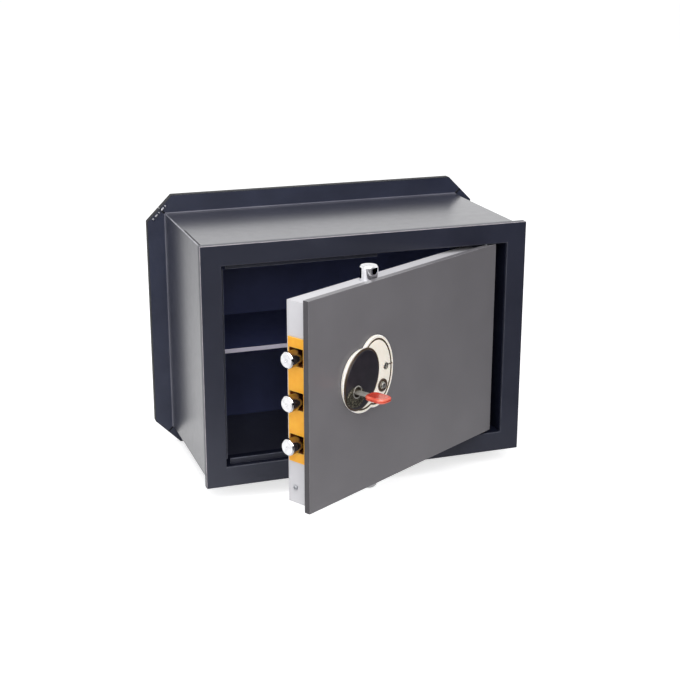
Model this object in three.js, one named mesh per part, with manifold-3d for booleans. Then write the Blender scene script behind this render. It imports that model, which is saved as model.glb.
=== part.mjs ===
// A built-in wall safe: steel body with front frame and rear anchor wings, a hinged door with its
// bolt work, and the key in its lock.
// Millimetres, +Z up. The origin is the centre of the back panel's rear face, +Y points into the wall,
// and the door faces -Y. The door stands open by DOOR_OPEN degrees.

import * as THREE from "three";
import { mergeVertices } from "three/addons/utils/BufferGeometryUtils.js";
import Module from "manifold-3d";

const wasm = await Module();
wasm.setup();

// Clearances
const GAP = 0.3; // between pieces that touch
const OVERSHOOT = 1; // a cutting tool past the face it opens
const BOLT_CLEARANCE = 0.4; // around a sliding bolt
const PIN_CLEARANCE = 0.3; // around a turning pin

// Body
const BODY_WIDTH = 430;
const BODY_HEIGHT = 310;
const DEPTH = 235; // front of the frame to the rear of the back panel
const SHELL_WALL = 3;
const BACK_THICKNESS = 3;

// Front frame
const FRAME_OVERHANG = 5; // past the body, all round
const FRAME_THICKNESS = 4;
const RIM_DEPTH = 10;
const RIM_THICKNESS = 2.5;
const OPENING_INSET = 22; // body's outside to the opening, all round

// Rear anchor wings
const WING_REACH = 25; // past the body, all round
const WING_DEPTH = 12; // front plane to the wall side
const WING_SHEET = 2.5;
const WING_CHAMFER = 35;

// Jambs and door stops
const JAMB_THICKNESS = 3;
const JAMB_DEPTH = 40; // behind the frame's front
const STOP_THICKNESS = 3;
const STOP_BOX_CLEARANCE = 1; // between a stop and the door's box
const STOP_LATCH_WIDTH = 3.5;
const STOP_TOP_LENGTH = 200;
const STOP_END = 7; // from the latch jamb to the stop's end
const STOP_HINGE_END = 50; // free of the door's turning edge

// Shelf
const SHELF_FRONT = 75; // behind the frame's front
const SHELF_THICKNESS = 2;
const SHELF_LIP = 6;
const SHELF_HEIGHT = 1; // top face over the body's middle
const SHELF_SIDE_GAP = 3;
const BRACKET_LEG = 18;
const BRACKET_SHEET = 2;
const BRACKET_INSET = 12; // from the shelf's front and rear

// Door
const DOOR_OPEN = 30; // degrees
const PLATE_THICKNESS = 8;
const DOOR_GAP_LATCH = 2;
const DOOR_GAP_HINGE = 17;
const DOOR_GAP_TOP = 1.5;
const DOOR_GAP_BOTTOM = 3.5;
const BOX_INSET = 5.5; // from the plate's edge
const BOX_INSET_HINGE = 15;
const BOX_REAR = 36.5; // behind the plate's front face
const BOX_WALL = 2;
const COVER_THICKNESS = 1.5;

// Hinge
const PIVOT_INSET = 7.5; // from the plate's hinge edge
const PIVOT_DEPTH = 9; // behind the plate's front face
const PIN_RADIUS = 3.5;
const PIN_HEAD_RADIUS = 4.6;
const PIN_HEAD_HEIGHT = 3;
const BLOCK_HEIGHT = 30;
const BLOCK_FRONT = 3.9; // behind the plate's front face
const BLOCK_REAR = 15;
const COLLAR_RADIUS = 5;
const PIN_TIP_INSET = 2; // short of the block's inner end

// Bolts
const BOLT_RADIUS = 10;
const ROD_BOLT_RADIUS = 11.5; // top and bottom bolts
const BOLT_CHAMFER = 1.5;
const SIDE_BOLT_LENGTH = 40;
const BOLT_REACH = 18; // out of the box when thrown
const BOLT_THROW = 16;
const BOLT_DEPTH = 23.5; // axis behind the plate's front face
const BOLT_PITCH = 53.5;
const BOLT_ROW_RISE = 5.3; // middle side bolt over the plate's middle
const TOP_BOLT_FROM_EDGE = 134; // from the plate's free edge
const BOLT_SIDES = 32;

// Guard strip on the free edge
const STRIP_LENGTH = 154;
const STRIP_THICKNESS = 1.5;
const STRIP_FRONT = 10; // behind the plate's front face
const STRIP_REAR = 36;
const STRIP_CUTOUT = 22;

// Bolt work
const TEETH = 12;
const QUARTER_TURN = Math.PI / 2;
const PITCH_RADIUS = BOLT_THROW / QUARTER_TURN;
const MODULE = (2 * PITCH_RADIUS) / TEETH;
const TOOTH_PITCH = Math.PI * MODULE;
const ADDENDUM = 0.65 * MODULE; // short teeth, which clear the racks' backs
const ROOT_CLEARANCE = 0.4;
const DEDENDUM = ADDENDUM + ROOT_CLEARANCE;
const BACKLASH = 0.45;
const PRESSURE_ANGLE = (20 * Math.PI) / 180;
const RACK_RUNOUT = 7; // past the pinion's axis at each end of travel
const RACK_BACK = 10; // pitch line to the rack's back
const FRONT_LAYER = [12.3, 17.3]; // carriage rack, behind the plate's front face
const REAR_LAYER = [18, 23]; // vertical rods
const PINION_SPAN = [12, 24.4];
const CARRIAGE_SPAN = [15, 32];
const CARRIAGE_THICKNESS = 8;
const CARRIAGE_OVERLAP = 9; // past the outer bolts' axes
const ROD_JOG = 52; // key axis to the near side of the cross arm
const ROD_JOG_WIDTH = 12;
const ROD_WIDTH = 12;
const ROD_GUIDE_HEIGHT = 10;
const ROD_GUIDE_WALL = 5;
const ROD_GUIDE_FROM_JOG = 4; // past the cross arm, with the bolt thrown
const BOLT_FROM_GUIDE = 4; // the drawn bolt's inner end past the guide

// Lock
const KEY_FROM_EDGE = 75.4; // key axis from the plate's free edge
const KEY_RISE = 4.6; // over the plate's middle
const PLUG_RADIUS = 6.2;
const PLUG_FRONT = -9; // in front of the plate's face
const PLUG_REAR = 11.7;
const PLUG_CLEARANCE = 0.4;
const HARD_PLATE = { width: 74, height: 84, thickness: 3 };
const CASE_SHEET = 2.5;
const CASE_LEFT = 18.7; // key axis to the case's side at the free edge
const CASE_RIGHT = 30.3;
const CASE_HALF_HEIGHT = 34;
const POST = 8;
const JOURNAL_RADIUS = 4;
const JOURNAL_PAST_CASE = 1;

// Lock plates, each placed to the right of the key axis and above it. Leans are in degrees, to the left
// at the top.
const BACKPLATE_THICKNESS = 4;
const LEFT_LOBE = { right: 16.4, rise: 8.3, rx: 36.5, rz: 40.5, lean: 12 };
const RIGHT_LOBE = { right: 40.3, rise: 14.4, rx: 33, rz: 45.5, lean: 0 };
const FACEPLATE = { right: 12.5, rise: 11.7, rx: 28.9, rz: 37.4, lean: -24.6 };
const FACEPLATE_THICKNESS = 2;
const ESCUTCHEON = { right: -1.5, rise: -5.5, radius: 13, thickness: 2.5 };
const INDEX_SCREW = { right: 57.6, rise: 17.6, radius: 4.5, thickness: 1.2 };
const CAP = { right: 51.6, rise: -5.6, radius: 6, thickness: 3.5, ring: 8.2, ringThickness: 2 };

// Key
const BLADE_WIDTH = 9;
const BLADE_THICKNESS = 2.6;
const BLADE_INSERTED = 18; // past the plug's front
const KEY_SLOT_CLEARANCE = 0.35;
const SHANK_LENGTH = 17; // plug's front to the bow
const BOW_LENGTH = 30;
const BOW_WIDTH = 22;
const BOW_THICKNESS = 6;
const BOW_CORNER = 8;
const CORNER_STEPS = 6;
const BOW_GRIP = 10; // of the blade inside the bow
const BOW_WALL = 0.3; // gap around the blade inside the bow

// Screws
const SCREW_HEAD_RADIUS = 3.5;
const SCREW_HEAD_HEIGHT = 2;
const SCREW_SHANK_RADIUS = 1.8;
const SCREW_LENGTH = 8;
const SCREW_SIDES = 16;
const LUG = 12;
const LUG_DEPTH = 10;
const BOX_SCREW_DEPTH = 27; // behind the plate's front face
const BOX_SCREW_RISE = 20; // over the box's lower edge

// Derived places
const FRONT_Y = -DEPTH;
const FRAME_WIDTH = BODY_WIDTH + 2 * FRAME_OVERHANG;
const FRAME_HEIGHT = BODY_HEIGHT + 2 * FRAME_OVERHANG;
const HALF_OPEN_X = BODY_WIDTH / 2 - OPENING_INSET;
const HALF_OPEN_Z = BODY_HEIGHT / 2 - OPENING_INSET;
const JAMB_REAR_Y = FRONT_Y + JAMB_DEPTH;
const JAMB_FRONT_Y = FRONT_Y + FRAME_THICKNESS + GAP;

const PLATE_LEFT = -HALF_OPEN_X + DOOR_GAP_LATCH;
const PLATE_RIGHT = HALF_OPEN_X - DOOR_GAP_HINGE;
const PLATE_BOTTOM = -HALF_OPEN_Z + DOOR_GAP_BOTTOM;
const PLATE_TOP = HALF_OPEN_Z - DOOR_GAP_TOP;
const DOOR_MIDDLE = (PLATE_TOP + PLATE_BOTTOM) / 2;
const BOX_LEFT = PLATE_LEFT + BOX_INSET;
const BOX_RIGHT = PLATE_RIGHT - BOX_INSET_HINGE;
const BOX_BOTTOM = PLATE_BOTTOM + BOX_INSET;
const BOX_TOP = PLATE_TOP - BOX_INSET;
const PIVOT_X = PLATE_RIGHT - PIVOT_INSET;
const PIVOT_Y = FRONT_Y + PIVOT_DEPTH;

const KEY_X = PLATE_LEFT + KEY_FROM_EDGE;
const KEY_Z = DOOR_MIDDLE + KEY_RISE;
const BOLT_ROW_Z = DOOR_MIDDLE + BOLT_ROW_RISE;
const BOLT_ROWS = [-1, 0, 1].map((row) => BOLT_ROW_Z + row * BOLT_PITCH);
const ROD_BOLT_X = PLATE_LEFT + TOP_BOLT_FROM_EDGE;
const CARRIAGE_LEFT = BOX_LEFT - BOLT_REACH + SIDE_BOLT_LENGTH + GAP;
const CARRIAGE_RIGHT = CARRIAGE_LEFT + CARRIAGE_THICKNESS;

const behindFace = (depth) => FRONT_Y + depth;

// Materials, in the photograph's colours
const paint = (color, roughness = 0.55, metalness = 0.1) =>
  new THREE.MeshStandardMaterial({ color, roughness, metalness });
const MATERIAL = {
  bodyPaint: paint("#474954"),
  framePaint: paint("#3a3d4c"),
  innerPaint: paint("#23263a"),
  shelfPaint: paint("#817c88"),
  doorPaint: paint("#6a686c"),
  boxPaint: paint("#cfced2", 0.45, 0.3),
  chrome: paint("#d9dade", 0.12, 1),
  steel: paint("#8f9196", 0.4, 0.9),
  amber: paint("#fbc33e", 0.5, 0),
  cream: paint("#f4ecdd", 0.35, 0),
  darkPlastic: paint("#3c3a40", 0.4, 0),
  red: paint("#c8523c", 0.4, 0),
  brass: paint("#b08d4a", 0.35, 0.9),
};

const inOrder = (a, b) => (a < b ? [a, b] : [b, a]);

// Basic solids
function box(x0, x1, y0, y1, z0, z1) {
  const geometry = new THREE.BoxGeometry(x1 - x0, y1 - y0, z1 - z0);
  return geometry.translate((x0 + x1) / 2, (y0 + y1) / 2, (z0 + z1) / 2);
}

// A flat outline in x and z, given depth along y from y0 to y1
function slab(shape, y0, y1) {
  const geometry = new THREE.ExtrudeGeometry(shape, {
    depth: y1 - y0,
    bevelEnabled: false,
    curveSegments: BOLT_SIDES / 4,
  });
  return geometry.rotateX(Math.PI / 2).translate(0, y1, 0);
}

function outline(points) {
  return new THREE.Shape(points.map(([x, z]) => new THREE.Vector2(x, z)));
}

// Round bars along each axis, centred on (a, b) of the other two
function barX(x0, x1, y, z, radius, sides = BOLT_SIDES) {
  const geometry = new THREE.CylinderGeometry(radius, radius, x1 - x0, sides);
  return geometry.rotateZ(Math.PI / 2).translate((x0 + x1) / 2, y, z);
}

function barY(y0, y1, x, z, radius, sides = BOLT_SIDES) {
  return new THREE.CylinderGeometry(radius, radius, y1 - y0, sides).translate(x, (y0 + y1) / 2, z);
}

function barZ(z0, z1, x, y, radius, sides = BOLT_SIDES) {
  const geometry = new THREE.CylinderGeometry(radius, radius, z1 - z0, sides);
  return geometry.rotateX(Math.PI / 2).translate(x, y, (z0 + z1) / 2);
}

// Booleans
function toManifold(geometry) {
  const bare = geometry.clone();
  bare.deleteAttribute("normal");
  bare.deleteAttribute("uv");
  const merged = mergeVertices(bare, 1e-4);
  const vertProperties = new Float32Array(merged.attributes.position.array);
  const triVerts = new Uint32Array(merged.index.array);
  return new wasm.Manifold(new wasm.Mesh({ numProp: 3, vertProperties, triVerts }));
}

function toGeometry(manifold) {
  const { vertProperties, triVerts } = manifold.getMesh();
  const geometry = new THREE.BufferGeometry();
  geometry.setAttribute("position", new THREE.BufferAttribute(new Float32Array(vertProperties), 3));
  geometry.setIndex(new THREE.BufferAttribute(new Uint32Array(triVerts), 1));
  geometry.computeVertexNormals();
  return geometry;
}

function join(...geometries) {
  return toGeometry(geometries.map(toManifold).reduce((whole, next) => whole.add(next)));
}

function cut(geometry, ...tools) {
  const whole = toManifold(geometry);
  return toGeometry(tools.map(toManifold).reduce((left, tool) => left.subtract(tool), whole));
}

function common(geometry, other) {
  return toGeometry(toManifold(geometry).intersect(toManifold(other)));
}

function piece(name, geometry, material) {
  const mesh = new THREE.Mesh(geometry, material);
  mesh.name = name;
  return mesh;
}

// Body
function frontFrame() {
  const halfX = FRAME_WIDTH / 2;
  const halfZ = FRAME_HEIGHT / 2;
  const sheet = box(-halfX, halfX, FRONT_Y, FRONT_Y + RIM_DEPTH, -halfZ, halfZ);
  const [inX, inZ] = [halfX - RIM_THICKNESS, halfZ - RIM_THICKNESS];
  const hollow = box(-inX, inX, FRONT_Y + FRAME_THICKNESS, 0, -inZ, inZ);
  const opening = box(-HALF_OPEN_X, HALF_OPEN_X, FRONT_Y - OVERSHOOT, 0, -HALF_OPEN_Z, HALF_OPEN_Z);
  return piece("front_frame", cut(sheet, hollow, opening), MATERIAL.framePaint);
}

function bodyShell() {
  const [halfX, halfZ] = [BODY_WIDTH / 2, BODY_HEIGHT / 2];
  const [inX, inZ] = [halfX - SHELL_WALL, halfZ - SHELL_WALL];
  const rear = -BACK_THICKNESS - GAP;
  const outer = box(-halfX, halfX, JAMB_FRONT_Y, rear, -halfZ, halfZ);
  const inner = box(-inX, inX, FRONT_Y, 0, -inZ, inZ);
  return piece("body_shell", cut(outer, inner), MATERIAL.bodyPaint);
}

function backPanel() {
  const [halfX, halfZ] = [BODY_WIDTH / 2, BODY_HEIGHT / 2];
  return piece("back_panel", box(-halfX, halfX, -BACK_THICKNESS, 0, -halfZ, halfZ), MATERIAL.innerPaint);
}

// The outline of the anchor flange, drawn in by a margin, with its four corners cut off at 45 degrees.
// A corner's legs shrink by that share of the margin which keeps the wall as thick there.
function wingOutline(margin) {
  const halfX = BODY_WIDTH / 2 + WING_REACH - margin;
  const halfZ = BODY_HEIGHT / 2 + WING_REACH - margin;
  const cornerShare = 2 - Math.SQRT2;
  const corner = WING_CHAMFER - margin * cornerShare;
  const quarter = [
    [halfX, halfZ - corner],
    [halfX - corner, halfZ],
  ];
  const mirrored = (sx, sz) => quarter.map(([x, z]) => [sx * x, sz * z]);
  return outline([
    ...mirrored(1, 1),
    ...mirrored(-1, 1).reverse(),
    ...mirrored(-1, -1),
    ...mirrored(1, -1).reverse(),
  ]);
}

// Four bent wings round the rear of the body, mitred where they meet
function anchorWings() {
  const [halfX, halfZ] = [BODY_WIDTH / 2 + GAP, BODY_HEIGHT / 2 + GAP];
  const full = slab(wingOutline(0), -WING_DEPTH, 0);
  const hollow = slab(wingOutline(WING_SHEET), -WING_DEPTH + WING_SHEET, OVERSHOOT);
  const body = box(-halfX, halfX, -WING_DEPTH - OVERSHOOT, OVERSHOOT, -halfZ, halfZ);
  const ring = cut(full, hollow, body);
  const far = 2 * WING_REACH;
  const miter = GAP * Math.SQRT1_2;
  const top = outline([
    [-halfX + miter, halfZ],
    [halfX - miter, halfZ],
    [halfX + far - miter, halfZ + far],
    [-halfX - far + miter, halfZ + far],
  ]);
  const side = outline([
    [halfX, halfZ - miter],
    [halfX, -halfZ + miter],
    [halfX + far, -halfZ - far + miter],
    [halfX + far, halfZ + far - miter],
  ]);
  const sector = (shape) => slab(shape, -WING_DEPTH - OVERSHOOT, OVERSHOOT);
  const turned = (shape) => sector(shape).rotateY(Math.PI);
  const wings = {
    anchor_wing_top: sector(top),
    anchor_wing_bottom: turned(top),
    anchor_wing_right: sector(side),
    anchor_wing_left: turned(side),
  };
  return Object.entries(wings).map(([name, part]) =>
    piece(name, common(ring, part), MATERIAL.framePaint),
  );
}

// The lined opening: top and bottom jambs run over the side jambs, and the bolts pass through three
function jambs() {
  const outX = HALF_OPEN_X + JAMB_THICKNESS;
  const outZ = HALF_OPEN_Z + JAMB_THICKNESS;
  const innerZ = HALF_OPEN_Z - GAP;
  const boltY = behindFace(BOLT_DEPTH);
  const boltHole = BOLT_RADIUS + BOLT_CLEARANCE;
  const rodBoltHole = ROD_BOLT_RADIUS + BOLT_CLEARANCE;
  const pinHole = PIN_RADIUS + PIN_CLEARANCE;
  const lintel = (z0, z1) =>
    cut(
      box(-outX, outX, JAMB_FRONT_Y, JAMB_REAR_Y, z0, z1),
      barZ(z0 - OVERSHOOT, z1 + OVERSHOOT, ROD_BOLT_X, boltY, rodBoltHole),
      barZ(z0 - OVERSHOOT, z1 + OVERSHOOT, PIVOT_X, PIVOT_Y, pinHole),
    );
  const [holeLeft, holeRight] = [-outX - OVERSHOOT, -HALF_OPEN_X + OVERSHOOT];
  const sideHoles = BOLT_ROWS.map((z) => barX(holeLeft, holeRight, boltY, z, boltHole));
  const post = (x0, x1) => box(x0, x1, JAMB_FRONT_Y, JAMB_REAR_Y, -innerZ, innerZ);
  return [
    piece("jamb_top", lintel(HALF_OPEN_Z, outZ), MATERIAL.innerPaint),
    piece("jamb_bottom", lintel(-outZ, -HALF_OPEN_Z), MATERIAL.innerPaint),
    piece("jamb_latch", cut(post(-outX, -HALF_OPEN_X), ...sideHoles), MATERIAL.innerPaint),
    piece("jamb_hinge", post(HALF_OPEN_X, outX), MATERIAL.innerPaint),
  ];
}

// Bars behind the door plate, on the bottom, latch and top jambs
function doorStops() {
  const y0 = behindFace(PLATE_THICKNESS + GAP);
  const y1 = y0 + STOP_THICKNESS;
  const left = -HALF_OPEN_X + STOP_END;
  const floor = -HALF_OPEN_Z + GAP;
  const roof = HALF_OPEN_Z - GAP;
  const bottomTip = BOX_BOTTOM - STOP_BOX_CLEARANCE;
  const topTip = BOX_TOP + STOP_BOX_CLEARANCE;
  const wall = -HALF_OPEN_X + GAP;
  const bottom = box(left, PLATE_RIGHT - STOP_HINGE_END, y0, y1, floor, bottomTip);
  const top = box(left, left + STOP_TOP_LENGTH, y0, y1, topTip, roof);
  const latch = box(wall, wall + STOP_LATCH_WIDTH, y0, y1, bottomTip, topTip);
  return [
    piece("door_stop_bottom", bottom, MATERIAL.innerPaint),
    piece("door_stop_top", top, MATERIAL.innerPaint),
    piece("door_stop_latch", latch, MATERIAL.innerPaint),
  ];
}

function shelfParts() {
  const innerX = BODY_WIDTH / 2 - SHELL_WALL;
  const halfX = innerX - SHELF_SIDE_GAP;
  const [front, rear] = [behindFace(SHELF_FRONT), -BACK_THICKNESS - GAP];
  const under = SHELF_HEIGHT - SHELF_THICKNESS;
  const sheet = box(-halfX, halfX, front, rear, under, SHELF_HEIGHT);
  const lipBottom = SHELF_HEIGHT - SHELF_LIP;
  const lip = box(-halfX, halfX, front, front + SHELF_THICKNESS, lipBottom, SHELF_HEIGHT);
  const top = under - GAP;
  const [y0, y1] = [front + BRACKET_INSET, rear - BRACKET_INSET];
  const wall = innerX - GAP;
  const bracket = (side) => {
    const span = (a, b) => (side > 0 ? [a, b] : [-b, -a]);
    const seat = box(...span(wall - BRACKET_LEG, wall), y0, y1, top - BRACKET_SHEET, top);
    const leg = box(...span(wall - BRACKET_SHEET, wall), y0, y1, top - BRACKET_LEG, top);
    return join(seat, leg);
  };
  return [
    piece("shelf", join(sheet, lip), MATERIAL.shelfPaint),
    piece("shelf_bracket_left", bracket(-1), MATERIAL.innerPaint),
    piece("shelf_bracket_right", bracket(1), MATERIAL.innerPaint),
  ];
}

// Headed pins through the top and bottom jambs, and the collar that carries the door's weight
function hingePins() {
  const headNear = HALF_OPEN_Z + JAMB_THICKNESS + GAP;
  const headFar = headNear + PIN_HEAD_HEIGHT;
  const onPivot = (z0, z1, radius) => barZ(z0, z1, PIVOT_X, PIVOT_Y, radius);
  const pinReach = BLOCK_HEIGHT - PIN_TIP_INSET;
  const upper = join(
    onPivot(BOX_TOP - pinReach, headFar, PIN_RADIUS),
    onPivot(headNear, headFar, PIN_HEAD_RADIUS),
  );
  const lower = join(
    onPivot(-headFar, BOX_BOTTOM + pinReach, PIN_RADIUS),
    onPivot(-headFar, -headNear, PIN_HEAD_RADIUS),
  );
  const [z0, z1] = [-HALF_OPEN_Z + GAP, BOX_BOTTOM - GAP];
  const collar = cut(
    onPivot(z0, z1, COLLAR_RADIUS),
    onPivot(z0 - OVERSHOOT, z1 + OVERSHOOT, PIN_RADIUS + PIN_CLEARANCE),
  );
  return [
    piece("hinge_pin_top", upper, MATERIAL.steel),
    piece("hinge_pin_bottom", lower, MATERIAL.steel),
    piece("thrust_collar", collar, MATERIAL.brass),
  ];
}

// The hole that the lock's plug turns in, through whatever lies between y0 and y1
function plugHole(y0, y1) {
  return barY(y0 - OVERSHOOT, y1 + OVERSHOOT, KEY_X, KEY_Z, PLUG_RADIUS + PLUG_CLEARANCE);
}

// Door leaf
function doorPlate() {
  const [front, rear] = [FRONT_Y, behindFace(PLATE_THICKNESS)];
  const plate = box(PLATE_LEFT, PLATE_RIGHT, front, rear, PLATE_BOTTOM, PLATE_TOP);
  const pocketFront = behindFace(BLOCK_FRONT - GAP);
  const pocket = (z0, z1) =>
    box(BOX_RIGHT, PLATE_RIGHT + OVERSHOOT, pocketFront, rear + OVERSHOOT, z0, z1);
  return piece(
    "door_plate",
    cut(
      plate,
      pocket(BOX_TOP - BLOCK_HEIGHT - GAP, PLATE_TOP + OVERSHOOT),
      pocket(PLATE_BOTTOM - OVERSHOOT, BOX_BOTTOM + BLOCK_HEIGHT + GAP),
      plugHole(front, rear),
    ),
    MATERIAL.doorPaint,
  );
}

// Places of the rear cover's screws, one lug of the box under each
function coverScrewPlaces() {
  const inset = BOX_WALL + LUG / 2;
  const columns = [BOX_LEFT + inset, (BOX_LEFT + BOX_RIGHT) / 2, BOX_RIGHT - inset];
  const rows = [BOX_BOTTOM + inset, BOX_TOP - inset];
  return rows.flatMap((z) => columns.map((x) => [x, z]));
}

function doorBox() {
  const [front, rear] = [behindFace(PLATE_THICKNESS + GAP), behindFace(BOX_REAR)];
  const outer = box(BOX_LEFT, BOX_RIGHT, front, rear, BOX_BOTTOM, BOX_TOP);
  const inner = box(
    BOX_LEFT + BOX_WALL,
    BOX_RIGHT - BOX_WALL,
    front - OVERSHOOT,
    rear + OVERSHOOT,
    BOX_BOTTOM + BOX_WALL,
    BOX_TOP - BOX_WALL,
  );
  const boltY = behindFace(BOLT_DEPTH);
  const hole = BOLT_RADIUS + BOLT_CLEARANCE;
  const rodHole = ROD_BOLT_RADIUS + BOLT_CLEARANCE;
  const [wallLeft, wallRight] = [BOX_LEFT - OVERSHOOT, BOX_LEFT + BOX_WALL + OVERSHOOT];
  const sideHoles = BOLT_ROWS.map((z) => barX(wallLeft, wallRight, boltY, z, hole));
  const lugs = coverScrewPlaces().map(([x, z]) =>
    box(x - LUG / 2, x + LUG / 2, rear - LUG_DEPTH, rear, z - LUG / 2, z + LUG / 2),
  );
  const thread = SCREW_SHANK_RADIUS + GAP;
  const threads = coverScrewPlaces().map(([x, z]) =>
    barY(rear - LUG_DEPTH - OVERSHOOT, rear + OVERSHOOT, x, z, thread, SCREW_SIDES),
  );
  const [screwY, screwZ] = [behindFace(BOX_SCREW_DEPTH), BOX_BOTTOM + BOX_SCREW_RISE];
  const ring = cut(
    outer,
    inner,
    ...sideHoles,
    barZ(BOX_BOTTOM - OVERSHOOT, BOX_BOTTOM + BOX_WALL + OVERSHOOT, ROD_BOLT_X, boltY, rodHole),
    barZ(BOX_TOP - BOX_WALL - OVERSHOOT, BOX_TOP + OVERSHOOT, ROD_BOLT_X, boltY, rodHole),
    barX(wallLeft, wallRight, screwY, screwZ, thread, SCREW_SIDES),
  );
  return piece("door_box", cut(join(ring, ...lugs), ...threads), MATERIAL.boxPaint);
}

function rearCover() {
  const [front, rear] = [behindFace(BOX_REAR + GAP), behindFace(BOX_REAR + GAP + COVER_THICKNESS)];
  const sheet = box(BOX_LEFT, BOX_RIGHT, front, rear, BOX_BOTTOM, BOX_TOP);
  const holes = coverScrewPlaces().map(([x, z]) =>
    barY(front - OVERSHOOT, rear + OVERSHOOT, x, z, SCREW_SHANK_RADIUS + GAP, SCREW_SIDES),
  );
  return piece("rear_cover", cut(sheet, ...holes), MATERIAL.boxPaint);
}

function coverScrews() {
  const seat = behindFace(BOX_REAR + 2 * GAP + COVER_THICKNESS);
  const top = seat + SCREW_HEAD_HEIGHT;
  return coverScrewPlaces().map(([x, z], index) => {
    const head = barY(seat, top, x, z, SCREW_HEAD_RADIUS, SCREW_SIDES);
    const shank = barY(seat - SCREW_LENGTH, top, x, z, SCREW_SHANK_RADIUS, SCREW_SIDES);
    return piece(`cover_screw_${index + 1}`, join(head, shank), MATERIAL.steel);
  });
}

// The small screw low on the box's free edge
function boxScrew() {
  const [y, z] = [behindFace(BOX_SCREW_DEPTH), BOX_BOTTOM + BOX_SCREW_RISE];
  const seat = BOX_LEFT - GAP;
  const top = seat - SCREW_HEAD_HEIGHT / 2;
  const head = barX(top, seat, y, z, SCREW_HEAD_RADIUS, SCREW_SIDES);
  const shank = barX(top, seat + SCREW_LENGTH, y, z, SCREW_SHANK_RADIUS, SCREW_SIDES);
  return piece("box_screw", join(head, shank), MATERIAL.steel);
}

function guardStrip() {
  const [y0, y1] = [behindFace(STRIP_FRONT), behindFace(STRIP_REAR)];
  const x1 = BOX_LEFT - GAP;
  const x0 = x1 - STRIP_THICKNESS;
  const half = STRIP_CUTOUT / 2;
  const boltY = behindFace(BOLT_DEPTH);
  const windows = BOLT_ROWS.map((z) =>
    box(x0 - OVERSHOOT, x1 + OVERSHOOT, boltY - half, boltY + half, z - half, z + half),
  );
  const strip = box(x0, x1, y0, y1, BOLT_ROW_Z - STRIP_LENGTH / 2, BOLT_ROW_Z + STRIP_LENGTH / 2);
  return piece("guard_strip", cut(strip, ...windows), MATERIAL.amber);
}

function hingeBlocks() {
  const [front, rear] = [behindFace(BLOCK_FRONT), behindFace(BLOCK_REAR)];
  const block = (z0, z1) =>
    cut(
      box(BOX_RIGHT + GAP, PLATE_RIGHT - GAP, front, rear, z0, z1),
      barZ(z0 - OVERSHOOT, z1 + OVERSHOOT, PIVOT_X, PIVOT_Y, PIN_RADIUS + PIN_CLEARANCE),
    );
  return [
    piece("hinge_block_top", block(BOX_TOP - BLOCK_HEIGHT, BOX_TOP), MATERIAL.steel),
    piece("hinge_block_bottom", block(BOX_BOTTOM, BOX_BOTTOM + BLOCK_HEIGHT), MATERIAL.steel),
  ];
}

// Lock plates on the door's face
function lobe({ right, rise, rx, rz, lean }) {
  const shape = new THREE.Shape();
  const turn = THREE.MathUtils.degToRad(lean);
  shape.absellipse(KEY_X + right, KEY_Z + rise, rx, rz, 0, 2 * Math.PI, false, turn);
  return shape;
}

function lockPlates() {
  const back = -GAP;
  const baseFront = back - BACKPLATE_THICKNESS;
  const faceBack = baseFront - GAP;
  const faceFront = faceBack - FACEPLATE_THICKNESS;
  const ringBack = faceFront - GAP;
  const ringFront = ringBack - ESCUTCHEON.thickness;
  const hole = plugHole(behindFace(ringFront), behindFace(back));
  const layer = (shape, front, rear) => slab(lobe(shape), behindFace(front), behindFace(rear));
  const base = join(layer(LEFT_LOBE, baseFront, back), layer(RIGHT_LOBE, baseFront, back));
  const [screwX, screwZ] = [KEY_X + INDEX_SCREW.right, KEY_Z + INDEX_SCREW.rise];
  const [capX, capZ] = [KEY_X + CAP.right, KEY_Z + CAP.rise];
  const capSeat = behindFace(baseFront - GAP);
  const ringTop = capSeat - CAP.ringThickness;
  const ring = cut(
    barY(ringTop, capSeat, capX, capZ, CAP.ring),
    barY(ringTop - OVERSHOOT, capSeat + OVERSHOOT, capX, capZ, CAP.radius + GAP),
  );
  const face = layer(FACEPLATE, faceFront, faceBack);
  const [collarX, collarZ] = [KEY_X + ESCUTCHEON.right, KEY_Z + ESCUTCHEON.rise];
  const collar = barY(behindFace(ringFront), behindFace(ringBack), collarX, collarZ, ESCUTCHEON.radius);
  const screw = barY(capSeat - INDEX_SCREW.thickness, capSeat, screwX, screwZ, INDEX_SCREW.radius);
  const cap = barY(capSeat - CAP.thickness, capSeat, capX, capZ, CAP.radius);
  return [
    piece("lock_backplate", cut(base, hole), MATERIAL.cream),
    piece("lock_faceplate", cut(face, hole), MATERIAL.darkPlastic),
    piece("key_escutcheon", cut(collar, hole), MATERIAL.darkPlastic),
    piece("faceplate_screw", screw, MATERIAL.steel),
    piece("backplate_cap", cap, MATERIAL.steel),
    piece("cap_ring", ring, MATERIAL.darkPlastic),
  ];
}

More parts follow.
